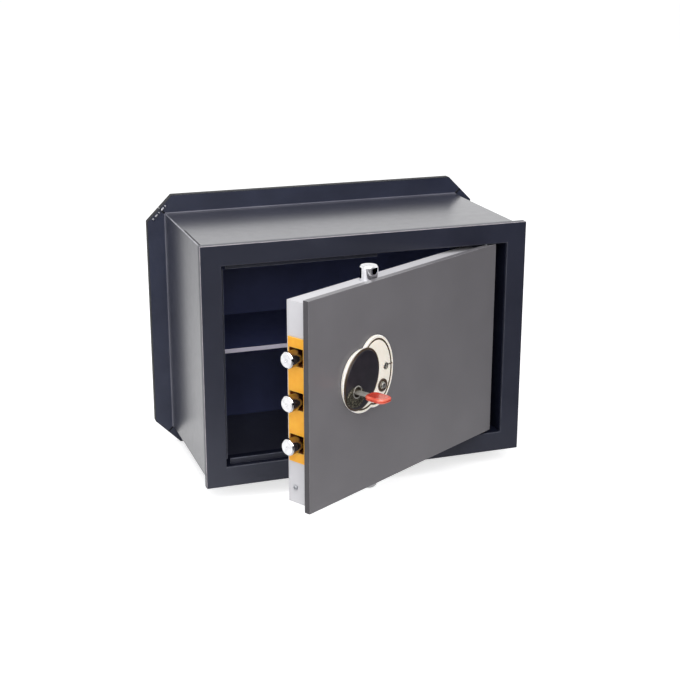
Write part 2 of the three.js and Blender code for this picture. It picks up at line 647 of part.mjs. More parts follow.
// Inside the door: the drill plate and the case that carries the pinion
function lockInside() {
  const front = PLATE_THICKNESS + GAP;
  const rear = front + HARD_PLATE.thickness;
  const [halfX, halfZ] = [HARD_PLATE.width / 2, HARD_PLATE.height / 2];
  const [y0, y1] = [behindFace(front), behindFace(rear)];
  const drillPlate = cut(
    box(KEY_X - halfX, KEY_X + halfX, y0, y1, KEY_Z - halfZ, KEY_Z + halfZ),
    plugHole(y0, y1),
  );
  const [left, right] = [KEY_X - CASE_LEFT, KEY_X + CASE_RIGHT];
  const [low, high] = [KEY_Z - CASE_HALF_HEIGHT, KEY_Z + CASE_HALF_HEIGHT];
  const lid = PINION_SPAN[1] + GAP;
  const [lidFront, lidRear] = [behindFace(lid), behindFace(lid + CASE_SHEET)];
  const sheet = box(left, right, lidFront, lidRear, low, high);
  const post = (x, z) => box(x, x + POST, behindFace(rear + GAP), lidRear, z, z + POST);
  const posts = [
    post(left, high - POST),
    post(right - POST, high - POST),
    post(right - POST, low),
    post(KEY_X - POST / 2, low),
  ];
  const bore = JOURNAL_RADIUS + PIN_CLEARANCE;
  const bearing = barY(lidFront - OVERSHOOT, lidRear + OVERSHOOT, KEY_X, KEY_Z, bore);
  return [
    piece("hard_plate", drillPlate, MATERIAL.steel),
    piece("lock_case", cut(join(sheet, ...posts), bearing), MATERIAL.steel),
  ];
}

// Teeth: an involute pinion and straight racks
function pinionOutline() {
  const base = PITCH_RADIUS * Math.cos(PRESSURE_ANGLE);
  const root = PITCH_RADIUS - DEDENDUM;
  const tip = PITCH_RADIUS + ADDENDUM;
  const involute = (angle) => Math.tan(angle) - angle;
  const halfAtPitch = (TOOTH_PITCH / 2 - BACKLASH) / (2 * PITCH_RADIUS);
  const halfAngle = (radius) =>
    halfAtPitch + involute(PRESSURE_ANGLE) - involute(Math.acos(Math.min(1, base / radius)));
  const radii = [root, base, (base + PITCH_RADIUS) / 2, PITCH_RADIUS, (PITCH_RADIUS + tip) / 2, tip];
  const points = [];
  for (let tooth = 0; tooth < TEETH; tooth += 1) {
    const middle = (2 * Math.PI * tooth) / TEETH;
    const flank = (side) =>
      radii.map((radius) => {
        const angle = middle + side * halfAngle(Math.max(radius, base));
        return [KEY_X + radius * Math.cos(angle), KEY_Z + radius * Math.sin(angle)];
      });
    points.push(...flank(-1), ...flank(1).reverse());
  }
  return outline(points);
}

// A rack's outline along its travel: pairs of distance from the pinion's axis and height over the pitch
// line. A space faces the axis at rest, because a tooth of the pinion does.
function rackPoints(from, to) {
  const halfTip = (TOOTH_PITCH / 2 - BACKLASH) / 2 - ADDENDUM * Math.tan(PRESSURE_ANGLE);
  const halfRoot = (TOOTH_PITCH / 2 - BACKLASH) / 2 + DEDENDUM * Math.tan(PRESSURE_ANGLE);
  const points = [
    [from, RACK_BACK],
    [from, DEDENDUM],
  ];
  for (let count = Math.ceil(from / TOOTH_PITCH); count < Math.floor(to / TOOTH_PITCH); count += 1) {
    const centre = (count + 0.5) * TOOTH_PITCH;
    points.push(
      [centre - halfRoot, DEDENDUM],
      [centre - halfTip, -ADDENDUM],
      [centre + halfTip, -ADDENDUM],
      [centre + halfRoot, DEDENDUM],
    );
  }
  points.push([to, DEDENDUM], [to, RACK_BACK]);
  return points;
}

function layerSlab(points, layer) {
  return slab(outline(points), behindFace(layer[0]), behindFace(layer[1]));
}

// The side bolts' carriage, with its rack over the pinion
function boltCarriage() {
  const span = BOLT_PITCH + CARRIAGE_OVERLAP;
  const bar = box(
    CARRIAGE_LEFT,
    CARRIAGE_RIGHT,
    behindFace(CARRIAGE_SPAN[0]),
    behindFace(CARRIAGE_SPAN[1]),
    BOLT_ROW_Z - span,
    BOLT_ROW_Z + span,
  );
  const from = CARRIAGE_RIGHT + GAP - KEY_X;
  const pitchZ = KEY_Z + PITCH_RADIUS;
  const rack = rackPoints(from, RACK_RUNOUT).map(([along, height]) => [KEY_X + along, pitchZ + height]);
  const names = ["side_bolt_lower", "side_bolt_middle", "side_bolt_upper"];
  return [
    piece("bolt_carriage", bar, MATERIAL.steel),
    piece("carriage_rack", layerSlab(rack, FRONT_LAYER), MATERIAL.steel),
    ...names.map((name, row) => piece(name, sideBolt(BOLT_ROWS[row]), MATERIAL.chrome)),
  ];
}

// A bolt bar along +Y from its flat inner end at 0 to its chamfered tip
function boltBar(length, radius) {
  const profile = [
    [0, 0],
    [radius, 0],
    [radius, length - BOLT_CHAMFER],
    [radius - BOLT_CHAMFER, length],
    [0, length],
  ];
  const points = profile.map(([out, along]) => new THREE.Vector2(out, along));
  return new THREE.LatheGeometry(points, BOLT_SIDES);
}

function sideBolt(z) {
  const bar = boltBar(SIDE_BOLT_LENGTH, BOLT_RADIUS).rotateZ(Math.PI / 2);
  return bar.translate(CARRIAGE_LEFT - GAP, behindFace(BOLT_DEPTH), z);
}

// Where a vertical bolt's parts lie, counted outwards from the door's height 0. Up is 1 for the top
// bolt and -1 for the bottom one. The bolt takes up what the door's height leaves over.
function verticalPlaces(up) {
  const keyOut = up * KEY_Z;
  const tip = (up > 0 ? BOX_TOP : -BOX_BOTTOM) + BOLT_REACH;
  const jogNear = keyOut + ROD_JOG;
  const jogFar = jogNear + ROD_JOG_WIDTH;
  const guideNear = jogFar + ROD_GUIDE_FROM_JOG;
  const guideFar = guideNear + ROD_GUIDE_HEIGHT;
  const inner = guideFar + BOLT_FROM_GUIDE + BOLT_THROW;
  return { keyOut, tip, jogNear, jogFar, guideNear, guideFar, inner };
}

// The top and bottom bolts, each on a flat rod with a rack beside the pinion
function verticalBolt(up) {
  const name = up > 0 ? "top" : "bottom";
  const { keyOut, tip, jogNear, jogFar, inner } = verticalPlaces(up);
  const place = (x, outward) => [x, up * outward];
  const side = up; // the top rod's rack is right of the pinion, the bottom rod's left
  const rack = rackPoints(-RACK_RUNOUT, BOLT_THROW + RACK_RUNOUT).map(([along, height]) =>
    place(KEY_X + side * (PITCH_RADIUS + height), keyOut + along),
  );
  const rackBack = KEY_X + side * (PITCH_RADIUS + RACK_BACK);
  const rackFront = KEY_X + side * (PITCH_RADIUS + DEDENDUM);
  const [y0, y1] = REAR_LAYER.map(behindFace);
  const rectangle = (x0, x1, out0, out1) =>
    box(...inOrder(x0, x1), y0, y1, ...inOrder(up * out0, up * out1));
  const rod = join(
    layerSlab(rack, REAR_LAYER),
    rectangle(rackFront, rackBack, keyOut + BOLT_THROW, jogFar),
    rectangle(rackBack, ROD_BOLT_X + ROD_WIDTH / 2, jogNear, jogFar),
    rectangle(ROD_BOLT_X - ROD_WIDTH / 2, ROD_BOLT_X + ROD_WIDTH / 2, jogNear, inner - GAP),
  );
  const bolt = boltBar(tip - inner, ROD_BOLT_RADIUS).rotateX((up * Math.PI) / 2);
  bolt.translate(ROD_BOLT_X, behindFace(BOLT_DEPTH), up * inner);
  return [piece(`${name}_rod`, rod, MATERIAL.steel), piece(`${name}_bolt`, bolt, MATERIAL.chrome)];
}

// Slotted blocks on the door plate that keep the vertical rods in line
function rodGuide(up) {
  const name = up > 0 ? "top" : "bottom";
  const { guideNear, guideFar } = verticalPlaces(up);
  const [z0, z1] = inOrder(up * guideNear, up * guideFar);
  const half = ROD_WIDTH / 2 + GAP;
  const outside = half + ROD_GUIDE_WALL;
  const front = behindFace(PLATE_THICKNESS + GAP);
  const rear = behindFace(REAR_LAYER[1] + ROD_GUIDE_WALL);
  const block = box(ROD_BOLT_X - outside, ROD_BOLT_X + outside, front, rear, z0, z1);
  const slot = box(
    ROD_BOLT_X - half,
    ROD_BOLT_X + half,
    behindFace(REAR_LAYER[0] - GAP),
    behindFace(REAR_LAYER[1] + GAP),
    z0 - OVERSHOOT,
    z1 + OVERSHOOT,
  );
  return piece(`rod_guide_${name}`, cut(block, slot), MATERIAL.steel);
}

// The turning plug with its key slot, and the pinion on its tail
function plugParts() {
  const slotX = BLADE_WIDTH / 2 + KEY_SLOT_CLEARANCE;
  const slotZ = BLADE_THICKNESS / 2 + KEY_SLOT_CLEARANCE;
  const slotEnd = behindFace(PLUG_FRONT + BLADE_INSERTED + 2 * KEY_SLOT_CLEARANCE);
  const mouth = behindFace(PLUG_FRONT) - OVERSHOOT;
  const plug = cut(
    barY(behindFace(PLUG_FRONT), behindFace(PLUG_REAR), KEY_X, KEY_Z, PLUG_RADIUS),
    box(KEY_X - slotX, KEY_X + slotX, mouth, slotEnd, KEY_Z - slotZ, KEY_Z + slotZ),
  );
  const [y0, y1] = PINION_SPAN.map(behindFace);
  const journalEnd = y1 + GAP + CASE_SHEET + JOURNAL_PAST_CASE;
  const pinion = join(
    slab(pinionOutline(), y0, y1),
    barY(y1 - OVERSHOOT, journalEnd, KEY_X, KEY_Z, JOURNAL_RADIUS),
  );
  return [piece("lock_plug", plug, MATERIAL.steel), piece("drive_pinion", pinion, MATERIAL.steel)];
}

// A flat blade and a flat bow with rounded corners, lying level
function keyParts() {
  const bowRear = PLUG_FRONT - SHANK_LENGTH;
  const bowFront = bowRear - BOW_LENGTH;
  const bladeFront = behindFace(bowRear - BOW_GRIP);
  const blade = box(
    KEY_X - BLADE_WIDTH / 2,
    KEY_X + BLADE_WIDTH / 2,
    bladeFront,
    behindFace(PLUG_FRONT + BLADE_INSERTED),
    KEY_Z - BLADE_THICKNESS / 2,
    KEY_Z + BLADE_THICKNESS / 2,
  );
  const [halfX, halfY, r] = [BOW_WIDTH / 2, BOW_LENGTH / 2, BOW_CORNER];
  const shape = new THREE.Shape();
  shape.absarc(halfX - r, halfY - r, r, 0, QUARTER_TURN, false);
  shape.absarc(-halfX + r, halfY - r, r, QUARTER_TURN, 2 * QUARTER_TURN, false);
  shape.absarc(-halfX + r, -halfY + r, r, 2 * QUARTER_TURN, 3 * QUARTER_TURN, false);
  shape.absarc(halfX - r, -halfY + r, r, 3 * QUARTER_TURN, 4 * QUARTER_TURN, false);
  const bow = new THREE.ExtrudeGeometry(shape, {
    depth: BOW_THICKNESS,
    bevelEnabled: false,
    curveSegments: CORNER_STEPS,
  });
  bow.translate(KEY_X, behindFace((bowRear + bowFront) / 2), KEY_Z - BOW_THICKNESS / 2);
  const socket = box(
    KEY_X - BLADE_WIDTH / 2 - BOW_WALL,
    KEY_X + BLADE_WIDTH / 2 + BOW_WALL,
    bladeFront - BOW_WALL,
    behindFace(bowRear) + OVERSHOOT,
    KEY_Z - BLADE_THICKNESS / 2 - BOW_WALL,
    KEY_Z + BLADE_THICKNESS / 2 + BOW_WALL,
  );
  return [piece("key_blade", blade, MATERIAL.steel), piece("key_bow", cut(bow, socket), MATERIAL.red)];
}

// Assembly: the door's pieces are made as if it were shut, then the leaf is swung open about its pins
const safe = new THREE.Group();
safe.add(
  frontFrame(),
  bodyShell(),
  backPanel(),
  ...anchorWings(),
  ...jambs(),
  ...doorStops(),
  ...shelfParts(),
  ...hingePins(),
);

const leaf = new THREE.Group();
leaf.position.set(-PIVOT_X, -PIVOT_Y, 0);
leaf.add(
  doorPlate(),
  doorBox(),
  rearCover(),
  ...coverScrews(),
  boxScrew(),
  guardStrip(),
  ...hingeBlocks(),
  ...lockPlates(),
  ...lockInside(),
  ...boltCarriage(),
  ...verticalBolt(1),
  ...verticalBolt(-1),
  rodGuide(1),
  rodGuide(-1),
  ...plugParts(),
  ...keyParts(),
);

const swing = new THREE.Group();
swing.position.set(PIVOT_X, PIVOT_Y, 0);
swing.rotation.z = THREE.MathUtils.degToRad(DOOR_OPEN);
swing.add(leaf);
safe.add(swing);

export default safe;
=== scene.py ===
"""Looks for a built-in wall safe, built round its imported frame.

Metres, +Z up, the origin at the centre of the back panel's rear face. The door faces -Y and stands open.
New shapes are drawn in millimetres with the door closed, then swung open with the rest of the door.
"""

from __future__ import annotations

import logging
import math
from dataclasses import dataclass, field
from enum import Enum
from typing import Any, Callable, Mapping, Sequence

import bmesh
import bpy
from mathutils import Matrix, Vector

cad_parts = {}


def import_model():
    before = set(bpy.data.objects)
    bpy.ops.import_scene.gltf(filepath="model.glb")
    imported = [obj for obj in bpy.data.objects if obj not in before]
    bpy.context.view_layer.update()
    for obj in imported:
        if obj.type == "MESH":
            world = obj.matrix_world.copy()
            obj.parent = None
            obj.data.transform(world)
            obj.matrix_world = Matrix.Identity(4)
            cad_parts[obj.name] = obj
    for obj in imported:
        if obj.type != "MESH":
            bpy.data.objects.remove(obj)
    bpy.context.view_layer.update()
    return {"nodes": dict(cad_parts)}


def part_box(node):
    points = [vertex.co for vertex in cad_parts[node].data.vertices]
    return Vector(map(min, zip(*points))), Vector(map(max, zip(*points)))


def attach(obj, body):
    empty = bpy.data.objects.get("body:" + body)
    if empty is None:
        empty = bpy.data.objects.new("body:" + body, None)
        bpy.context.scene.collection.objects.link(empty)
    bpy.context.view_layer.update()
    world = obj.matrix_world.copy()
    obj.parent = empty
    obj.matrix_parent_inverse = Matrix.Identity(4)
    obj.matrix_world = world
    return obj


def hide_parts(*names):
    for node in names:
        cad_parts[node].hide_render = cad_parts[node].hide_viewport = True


Shape = bmesh.types.BMesh
Socket = bpy.types.NodeSocket
Tree = bpy.types.NodeTree
Point = Sequence[float]
Range = tuple[float, float]
Triple = tuple[float, float, float]
Colour = tuple[float, float, float, float]
Profile = Sequence[Range]

LOG = logging.getLogger("wall_safe")
MM = 0.001

# The closed door in millimetres: its face, its pins, its bolts and its keyhole
FRONT_Y = -235.0
PIVOT = Vector((168.5, -226.0, 0.0))
BOLT_Y = FRONT_Y + 23.5
BOLT_ROWS = {"lower": -47.2, "middle": 6.3, "upper": 59.8}
KEYHOLE_X = -115.6
KEYHOLE_Z = 5.6

# From a drawing in millimetres to metres, and for what moves with the door also from closed to open
DOOR_OPEN = math.radians(30.0)
SWING = Matrix.Translation(PIVOT) @ Matrix.Rotation(DOOR_OPEN, 4, "Z") @ Matrix.Translation(-PIVOT)
FIXED_PLACE = Matrix.Diagonal((MM, MM, MM, 1.0))
DOOR_PLACE = FIXED_PLACE @ SWING

# Marks on a shape's faces: rounded edges, which take an edge colour of their own (partly rubbed wear,
# mostly a painted highlight, and on the wings a painted shade), and faces with a second finish
WEAR_AND_HIGHLIGHT = "edge_wear_and_highlight"
INLAY = "inlay"


class Body(Enum):
    """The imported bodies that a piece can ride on."""

    SAFE = "safe_body"
    DOOR = "door"
    SIDE_BOLTS = "side_bolts"
    UPPER_BOLT = "upper_bolt"
    LOWER_BOLT = "lower_bolt"
    PLUG = "plug"
    KEY = "key"


class Slot(Enum):
    """The record's material slots."""

    BODY_PAINT = "body_paint"
    FRAME_PAINT = "frame_paint"
    INNER_PAINT = "inner_paint"
    SHELF_PAINT = "shelf_paint"
    DOOR_PAINT = "door_paint"
    BOX_PAINT = "box_paint"
    STEEL = "steel"
    CHROME = "chrome"
    BRASS = "brass"
    AMBER = "amber"
    CREAM = "cream"
    DARK_PLASTIC = "dark_plastic"
    RED = "red"


class Axis(Enum):
    """Which way a turned piece points, as the turns in degrees about X and then Y that bring +Z there."""

    PLUS_X = (0.0, 90.0)
    MINUS_X = (0.0, -90.0)
    PLUS_Y = (-90.0, 0.0)
    PLUS_Z = (0.0, 0.0)
    MINUS_Z = (180.0, 0.0)

    def turn(self) -> Matrix:
        """The rotation from +Z to this axis."""
        x, y = (math.radians(angle) for angle in self.value)
        return Matrix.Rotation(y, 4, "Y") @ Matrix.Rotation(x, 4, "X")

    def ahead(self) -> Vector:
        """The direction in which it points."""
        return self.turn() @ Vector((0.0, 0.0, 1.0))


class Join(Enum):
    """How one solid meets another."""

    WITH = "UNION"
    WITHOUT = "DIFFERENCE"


# Materials

# Nearly all of a noise's values lie in its middle range
MIDDLE: Range = (0.3, 0.7)
FULL: Range = (0.0, 1.0)


def linear(hex_colour: str) -> Colour:
    """Turns an sRGB hex colour to a linear one.

    Args:
        hex_colour: A colour such as "#2b2d38".

    Returns:
        Its linear red, green and blue, with an alpha of 1.
    """
    channels = [int(hex_colour[i : i + 2], 16) / 255 for i in (1, 3, 5)]
    red, green, blue = (c / 12.92 if c <= 0.04045 else ((c + 0.055) / 1.055) ** 2.4 for c in channels)
    return red, green, blue, 1.0


def add_node(
    tree: Tree, kind: str, inputs: Mapping[Any, Any] | None = None, **settings: Any
) -> bpy.types.Node:
    """Adds a node with its settings, values and links.

    Args:
        tree: The node tree that gets it.
        kind: The shader node's type.
        inputs: A value or an output socket for each input, by name or number.
        settings: The node's own properties.

    Returns:
        The new node.
    """
    node = tree.nodes.new(f"ShaderNode{kind}")
    for name, value in settings.items():
        setattr(node, name, value)
    for socket, value in (inputs or {}).items():
        if isinstance(value, Socket):
            tree.links.new(value, node.inputs[socket])
        else:
            node.inputs[socket].default_value = value
    return node


def blank_material(name: str) -> tuple[bpy.types.Material, Tree]:
    """Makes a material with no nodes.

    Args:
        name: The material's name.

    Returns:
        The material and its empty tree.
    """
    material = bpy.data.materials.new(name)
    material.use_nodes = True
    material.node_tree.nodes.clear()
    return material, material.node_tree


def noise(tree: Tree, size_mm: float, detail: float) -> Socket:
    """Adds a noise of a real size on Object coordinates.

    Args:
        tree: The node tree that gets it.
        size_mm: The size of one patch of the noise.
        detail: How many finer layers it has.

    Returns:
        The noise's value, about 0.5 on the whole.
    """
    place = add_node(tree, "TexCoord").outputs["Object"]
    inputs = {"Vector": place, "Scale": 1.0 / (size_mm * MM), "Detail": detail, "Roughness": 0.5}
    return add_node(tree, "TexNoise", inputs).outputs["Fac"]


def spread(value: Socket, span: Range, result: Range) -> dict[str, Any]:
    """The inputs that spread one range of a value over another, held at the ends."""
    limits = zip(("From Min", "From Max", "To Min", "To Max"), (*span, *result))
    return {"Value": value, **dict(limits)}


def patches(tree: Tree, size_mm: float, span: Range, result: Range, detail: float = 3.0) -> Socket:
    """Adds soft patches: a noise of a real size, with a span of its values spread over the result's."""
    grain = noise(tree, size_mm, detail)
    return add_node(tree, "MapRange", spread(grain, span, result)).outputs[0]


def edge_wear_and_highlight(tree: Tree) -> Socket:
    """Adds the share of the edge colour on rounded edges, broken up by a fine noise: partly rubbed wear,
    mostly a painted highlight.

    Args:
        tree: The node tree that gets the nodes.

    Returns:
        The share of the edge colour, up to 1 on a piece's rounded edges and 0 on its flats.
    """
    edge = add_node(tree, "Attribute", attribute_name=WEAR_AND_HIGHLIGHT).outputs["Fac"]
    rubbed_and_lit = {0: edge, 1: patches(tree, size_mm=9.0, span=(0.35, 0.65), result=(0.3, 1.0))}
    return add_node(tree, "Math", rubbed_and_lit, operation="MULTIPLY").outputs[0]


def weathered_and_lit(tree: Tree, clouds: Socket, colours: Sequence[str]) -> Socket:
    """Mixes a finish's colour with that of its clouds, and with that of its rounded edges: rubbed wear and
    a painted highlight.

    Args:
        tree: The node tree that gets the nodes.
        clouds: The clouds' share.
        colours: The hex colours of the finish, of its clouds and of its rounded edges, the last partly wear
            and mostly a painted highlight.

    Returns:
        The surface's colour.
    """
    plain, cloud, rubbed_and_lit = (linear(colour) for colour in colours)
    clouded = add_node(tree, "Mix", {0: clouds, 6: plain, 7: cloud}, data_type="RGBA")
    worn_and_lit = {0: edge_wear_and_highlight(tree), 6: clouded.outputs[2], 7: rubbed_and_lit}
    return add_node(tree, "Mix", worn_and_lit, data_type="RGBA").outputs[2]


@dataclass(frozen=True)
class Finish:
    """What all finishes share: a name, and one shader whose inputs each kind of finish gives."""

    name: str

    def inputs(self, tree: Tree) -> dict[str, Any]:
        """Gives a value or a socket for each of the shader's inputs that the finish sets."""
        raise NotImplementedError

    def material(self) -> bpy.types.Material:
        """Builds the finish's nodes.

        Returns:
            The finished material.
        """
        material, tree = blank_material(self.name)
        shader = add_node(tree, "BsdfPrincipled", self.inputs(tree))
        add_node(tree, "OutputMaterial", {"Surface": shader.outputs[0]})
        return material


@dataclass(frozen=True)
class Skin(Finish):
    """A coloured skin with soft clouds, duller patches, a fine relief and rounded edges in a colour of
    their own, partly rubbed and mostly a painted highlight.
    """

    colour: str
    cloud: str
    worn_and_lit: str
    roughness: float = 0.3
    gloss: float = 0.5
    coat: float = 0.0
    coat_roughness: float = 0.1
    glow: float = 0.0
    glow_reach: Triple = (0.003, 0.002, 0.001)
    ior: float = 1.5
    cloud_mm: float = 70.0
    cloud_span: Range = MIDDLE
    dull_patch_mm: float = 14.0
    dullness: Range = (0.95, 1.1)
    relief_mm: float = 7.0
    relief_detail: float = 1.0
    relief_depth_mm: float = 0.006

    def inputs(self, tree: Tree) -> dict[str, Any]:
        """Adds the skin's patterns.

        Args:
            tree: The node tree that gets them.

        Returns:
            A value or a socket for each of the shader's inputs.
        """
        clouds = patches(tree, self.cloud_mm, self.cloud_span, FULL)
        low, high = (self.roughness * share for share in self.dullness)
        height = noise(tree, self.relief_mm, self.relief_detail)
        relief = {"Height": height, "Distance": self.relief_depth_mm * MM}
        return {
            "Base Color": weathered_and_lit(tree, clouds, (self.colour, self.cloud, self.worn_and_lit)),
            "Roughness": patches(tree, self.dull_patch_mm, MIDDLE, (low, high)),
            "IOR": self.ior,
            "Specular IOR Level": self.gloss,
            "Subsurface Weight": self.glow,
            "Subsurface Radius": self.glow_reach,
            "Coat Weight": self.coat,
            "Coat Roughness": self.coat_roughness,
            "Normal": add_node(tree, "Bump", relief).outputs[0],
        }


class StovedPaint(Skin):
    """Smooth semi-gloss paint, sprayed on sheet steel and stoved.

    The eye sees a dark even coat that mirrors its surroundings at a flat angle, with a faint ripple where
    the spray flowed out, slight clouds, and paler rounded edges, partly a thin rubbed coat, mostly a
    painted highlight.
    """


@dataclass(frozen=True)
class MouldedPlastic(Skin):
    """Injection-moulded plastic: an even colour with a fine mould texture and a soft shine.

    The eye sees a colour that glows a little where light gets in, and paler rounded edges, partly rubbed
    and mostly a painted highlight.
    """

    roughness: float = 0.35
    coat_roughness: float = 0.08
    ior: float = 1.49
    cloud_mm: float = 11.0
    cloud_span: Range = (0.35, 0.7)
    dull_patch_mm: float = 5.0
    dullness: Range = (0.95, 1.2)
    relief_mm: float = 1.4
    relief_detail: float = 2.0


@dataclass(frozen=True)
class BareMetal(Finish):
    """Plain metal: turned, zinc plated, chromed or brass, by its colour, polish and grain.

    The eye sees mirror-like or soft reflections, broken a little by a fine grain, and faint rubbed smudges.
    """

    colour: str
    smudged: str
    roughness: float
    smudge: float = 0.1
    smudge_mm: float = 6.0
    smudge_detail: float = 4.0
    dark_span: Range = (0.45, 0.8)
    dull_span: Range = (0.4, 0.75)
    grain_mm: float = 0.9
    grain_depth_mm: float = 0.003

    def inputs(self, tree: Tree) -> dict[str, Any]:
        """Adds the metal's patterns.

        Args:
            tree: The node tree that gets them.

        Returns:
            A value or a socket for each of the shader's inputs.
        """
        share = patches(tree, self.smudge_mm, self.dark_span, FULL, self.smudge_detail)
        colours = {0: share, 6: linear(self.colour), 7: linear(self.smudged)}
        rough = (self.roughness, self.roughness + self.smudge)
        grain = {"Height": noise(tree, self.grain_mm, 2.0), "Distance": self.grain_depth_mm * MM}
        return {
            "Base Color": add_node(tree, "Mix", colours, data_type="RGBA").outputs[2],
            "Metallic": 1.0,
            "Roughness": patches(tree, self.smudge_mm, self.dull_span, rough, self.smudge_detail),
            "Normal": add_node(tree, "Bump", grain).outputs[0],
        }


@dataclass(frozen=True)
class MottledCasting(Finish):
    """Cast zinc with a dark burnished finish, pitted and rubbed in small spots.

    The eye sees a dark olive-brown face that sparkles in fine light flecks.
    """

    colour: str
    flecks: str
    metallic: float = 0.65
    roughness: float = 0.42
    fleck_mm: float = 1.7
    fleck_detail: float = 2.0
    fleck_span: Range = (0.46, 0.66)
    pit_depth_mm: float = 0.08

    def inputs(self, tree: Tree) -> dict[str, Any]:
        """Adds the casting's patterns.

        Args:
            tree: The node tree that gets them.

        Returns:
            A value or a socket for each of the shader's inputs.
        """
        share = patches(tree, self.fleck_mm, self.fleck_span, FULL, self.fleck_detail)
        colours = {0: share, 6: linear(self.colour), 7: linear(self.flecks)}
        height = noise(tree, self.fleck_mm, self.fleck_detail)
        pits = {"Height": height, "Distance": self.pit_depth_mm * MM}
        return {
            "Base Color": add_node(tree, "Mix", colours, data_type="RGBA").outputs[2],
            "Metallic": self.metallic,
            "Roughness": self.roughness,
            "Normal": add_node(tree, "Bump", pits).outputs[0],
        }


class Finishes:
    """Every finish on the safe, each made a material the first time that it is used.

    No finish's roughness crosses 0.274, bar the spatter's: the denoiser takes less for a mirror, and where
    a surface crosses over it leaves dark flecks.
    """

    # The last colour of each paint and plastic goes on its rounded edges: mostly a painted highlight, paler
    # than the coat, partly rubbed wear.
    BODY = StovedPaint("stoved_paint_body", "#3a3b45", "#33343e", "#96979f", coat=0.9, coat_roughness=0.2)
    FRAME = StovedPaint("stoved_paint_frame", "#2e303d", "#292b37", "#42444f")
    # A painted highlight: the frame's outer front edge, at the top and on the left only, drawn pale.
    RIM_HIGHLIGHT = StovedPaint("stoved_paint_rim_highlight", "#a8a2a6", "#8b868b", "#bdb6ba")
    # The wings' rounded edges are drawn darker than the coat: a painted shade.
    WING = StovedPaint("stoved_paint_wings", "#363a4c", "#2c2f3e", "#20212b", 0.34)
    # Near black: painted shade on the wings' outer edges and along the lap at the body's top left edge, and
    # the dark joint over each mitre.
    DARK_JOINT_AND_SHADE = StovedPaint("stoved_paint_dark_joint_and_shade", "#111219", "#0d0e13", "#16171f", 0.5, gloss=0.2)
    # A lighter copy of the frame paint on the bead round the body: a painted highlight along the wings'
    # root.
    WELD_HIGHLIGHT = StovedPaint("stoved_paint_weld_highlight", "#6a6a75", "#4f505d", "#83848f")
    SPATTER = BareMetal("weld_spatter", "#b4b4ba", "#1c1c20", 0.25, 0.35, grain_mm=1.6, grain_depth_mm=0.5)
    INSIDE = StovedPaint("stoved_paint_inside", "#2d3150", "#262a45", "#363b58", 0.4, gloss=0.3)
    SHELF_TOP = StovedPaint("stoved_paint_shelf_sheet", "#3c4166", "#353a5a", "#3c4166", 0.4, gloss=0.3)
    # The inner paint drawn lighter on the inside of the back panel: painted light deep in the safe.
    BACK_LIT = StovedPaint("stoved_paint_back_painted_light", "#4f5680", "#454b70", "#4f5680", 0.4, gloss=0.35)
    # Near black: the inner paint drawn as painted shade on the jambs inside the opening.
    SHADE = StovedPaint("stoved_paint_jambs_shade", "#141726", "#11131f", "#1d2133", 0.45, gloss=0.2)
    STOP = StovedPaint("stoved_paint_stops", "#2c2e3b", "#262833", "#6b6e7c", 0.35)
    SHELF = StovedPaint("stoved_paint_shelf", "#cdc8d6", "#bbb6c5", "#e6e3ec")
    DOOR = StovedPaint(
        "stoved_paint_door", "#747275", "#6f6d70", "#b0aeb2", gloss=0.25, coat=0.25, coat_roughness=0.3
    )
    # A darker copy of the door paint on the free edge: painted shade.
    DOOR_EDGE_SHADE = StovedPaint("stoved_paint_door_edge_shade", "#504e51", "#4b494c", "#6f6d70", 0.4, gloss=0.2)
    SILVER = StovedPaint("silver_lacquer", "#d0cfd2", "#c7c6ca", "#e9e9eb")
    CHROME = BareMetal("chrome_plate", "#f3f3f5", "#d4d4d8", 0.06, grain_depth_mm=0.001)
    # A darkened copy of the chrome on the side bolts' barrels: a painted dark reflection.
    DARKENED_CHROME = BareMetal("chrome_plate_painted_dark", "#8b8688", "#4c474a", 0.12, grain_depth_mm=0.001)
    STEEL = BareMetal("zinc_plated_steel", "#c2c4c8", "#9a9ca1", 0.29)
    DULL_STEEL = BareMetal("oiled_steel", "#85878c", "#5f6166", 0.36)
    BRASS = BareMetal("turned_brass", "#c7a253", "#9a7a38", 0.28)
    PLUG = BareMetal("darkened_brass", "#6f675a", "#4c463b", 0.3)
    CASTING = MottledCasting("burnished_zinc_casting", "#3f3d35", "#928d7b")
    KEY_STEEL = BareMetal("nickelled_key_steel", "#e6e3dc", "#b4b0a7", 0.45)
    AMBER = MouldedPlastic("amber_nylon", "#f8b42c", "#f2a71e", "#ffd873", 0.4, glow=0.25)
    # The amber nylon drawn dark brown in the bolt pockets: painted shade.
    POCKET_SHADE = MouldedPlastic("amber_nylon_pocket_shade", "#8f4c14", "#743a0e", "#b87a2c", 0.5, glow=0.1)
    CREAM = MouldedPlastic("cream_abs", "#fdf6ea", "#f8efdf", "#ffffff", 0.3, glow=0.08)
    GROOVE = MouldedPlastic("cream_abs_groove", "#5d4a38", "#4c3b2c", "#7a6450", 0.5)
    DARK = MouldedPlastic("dark_abs", "#322f35", "#2b292e", "#4c4145", 0.3)
    BROWN = MouldedPlastic("brown_abs", "#4b3b2e", "#3d3025", "#6e5a45")
    RED = MouldedPlastic("red_abs", "#cf3b26", "#be321f", "#e5705a", 0.2, coat=0.8)

    _made: dict[str, bpy.types.Material] = {}

    @classmethod
    def get(cls, finish: Finish) -> bpy.types.Material:
        """Looks up a finish's material, and makes it first where it is new.

        Args:
            finish: The finish.

        Returns:
            Its material.
        """
        if finish.name not in cls._made:
            cls._made[finish.name] = finish.material()
        return cls._made[finish.name]


# Shapes


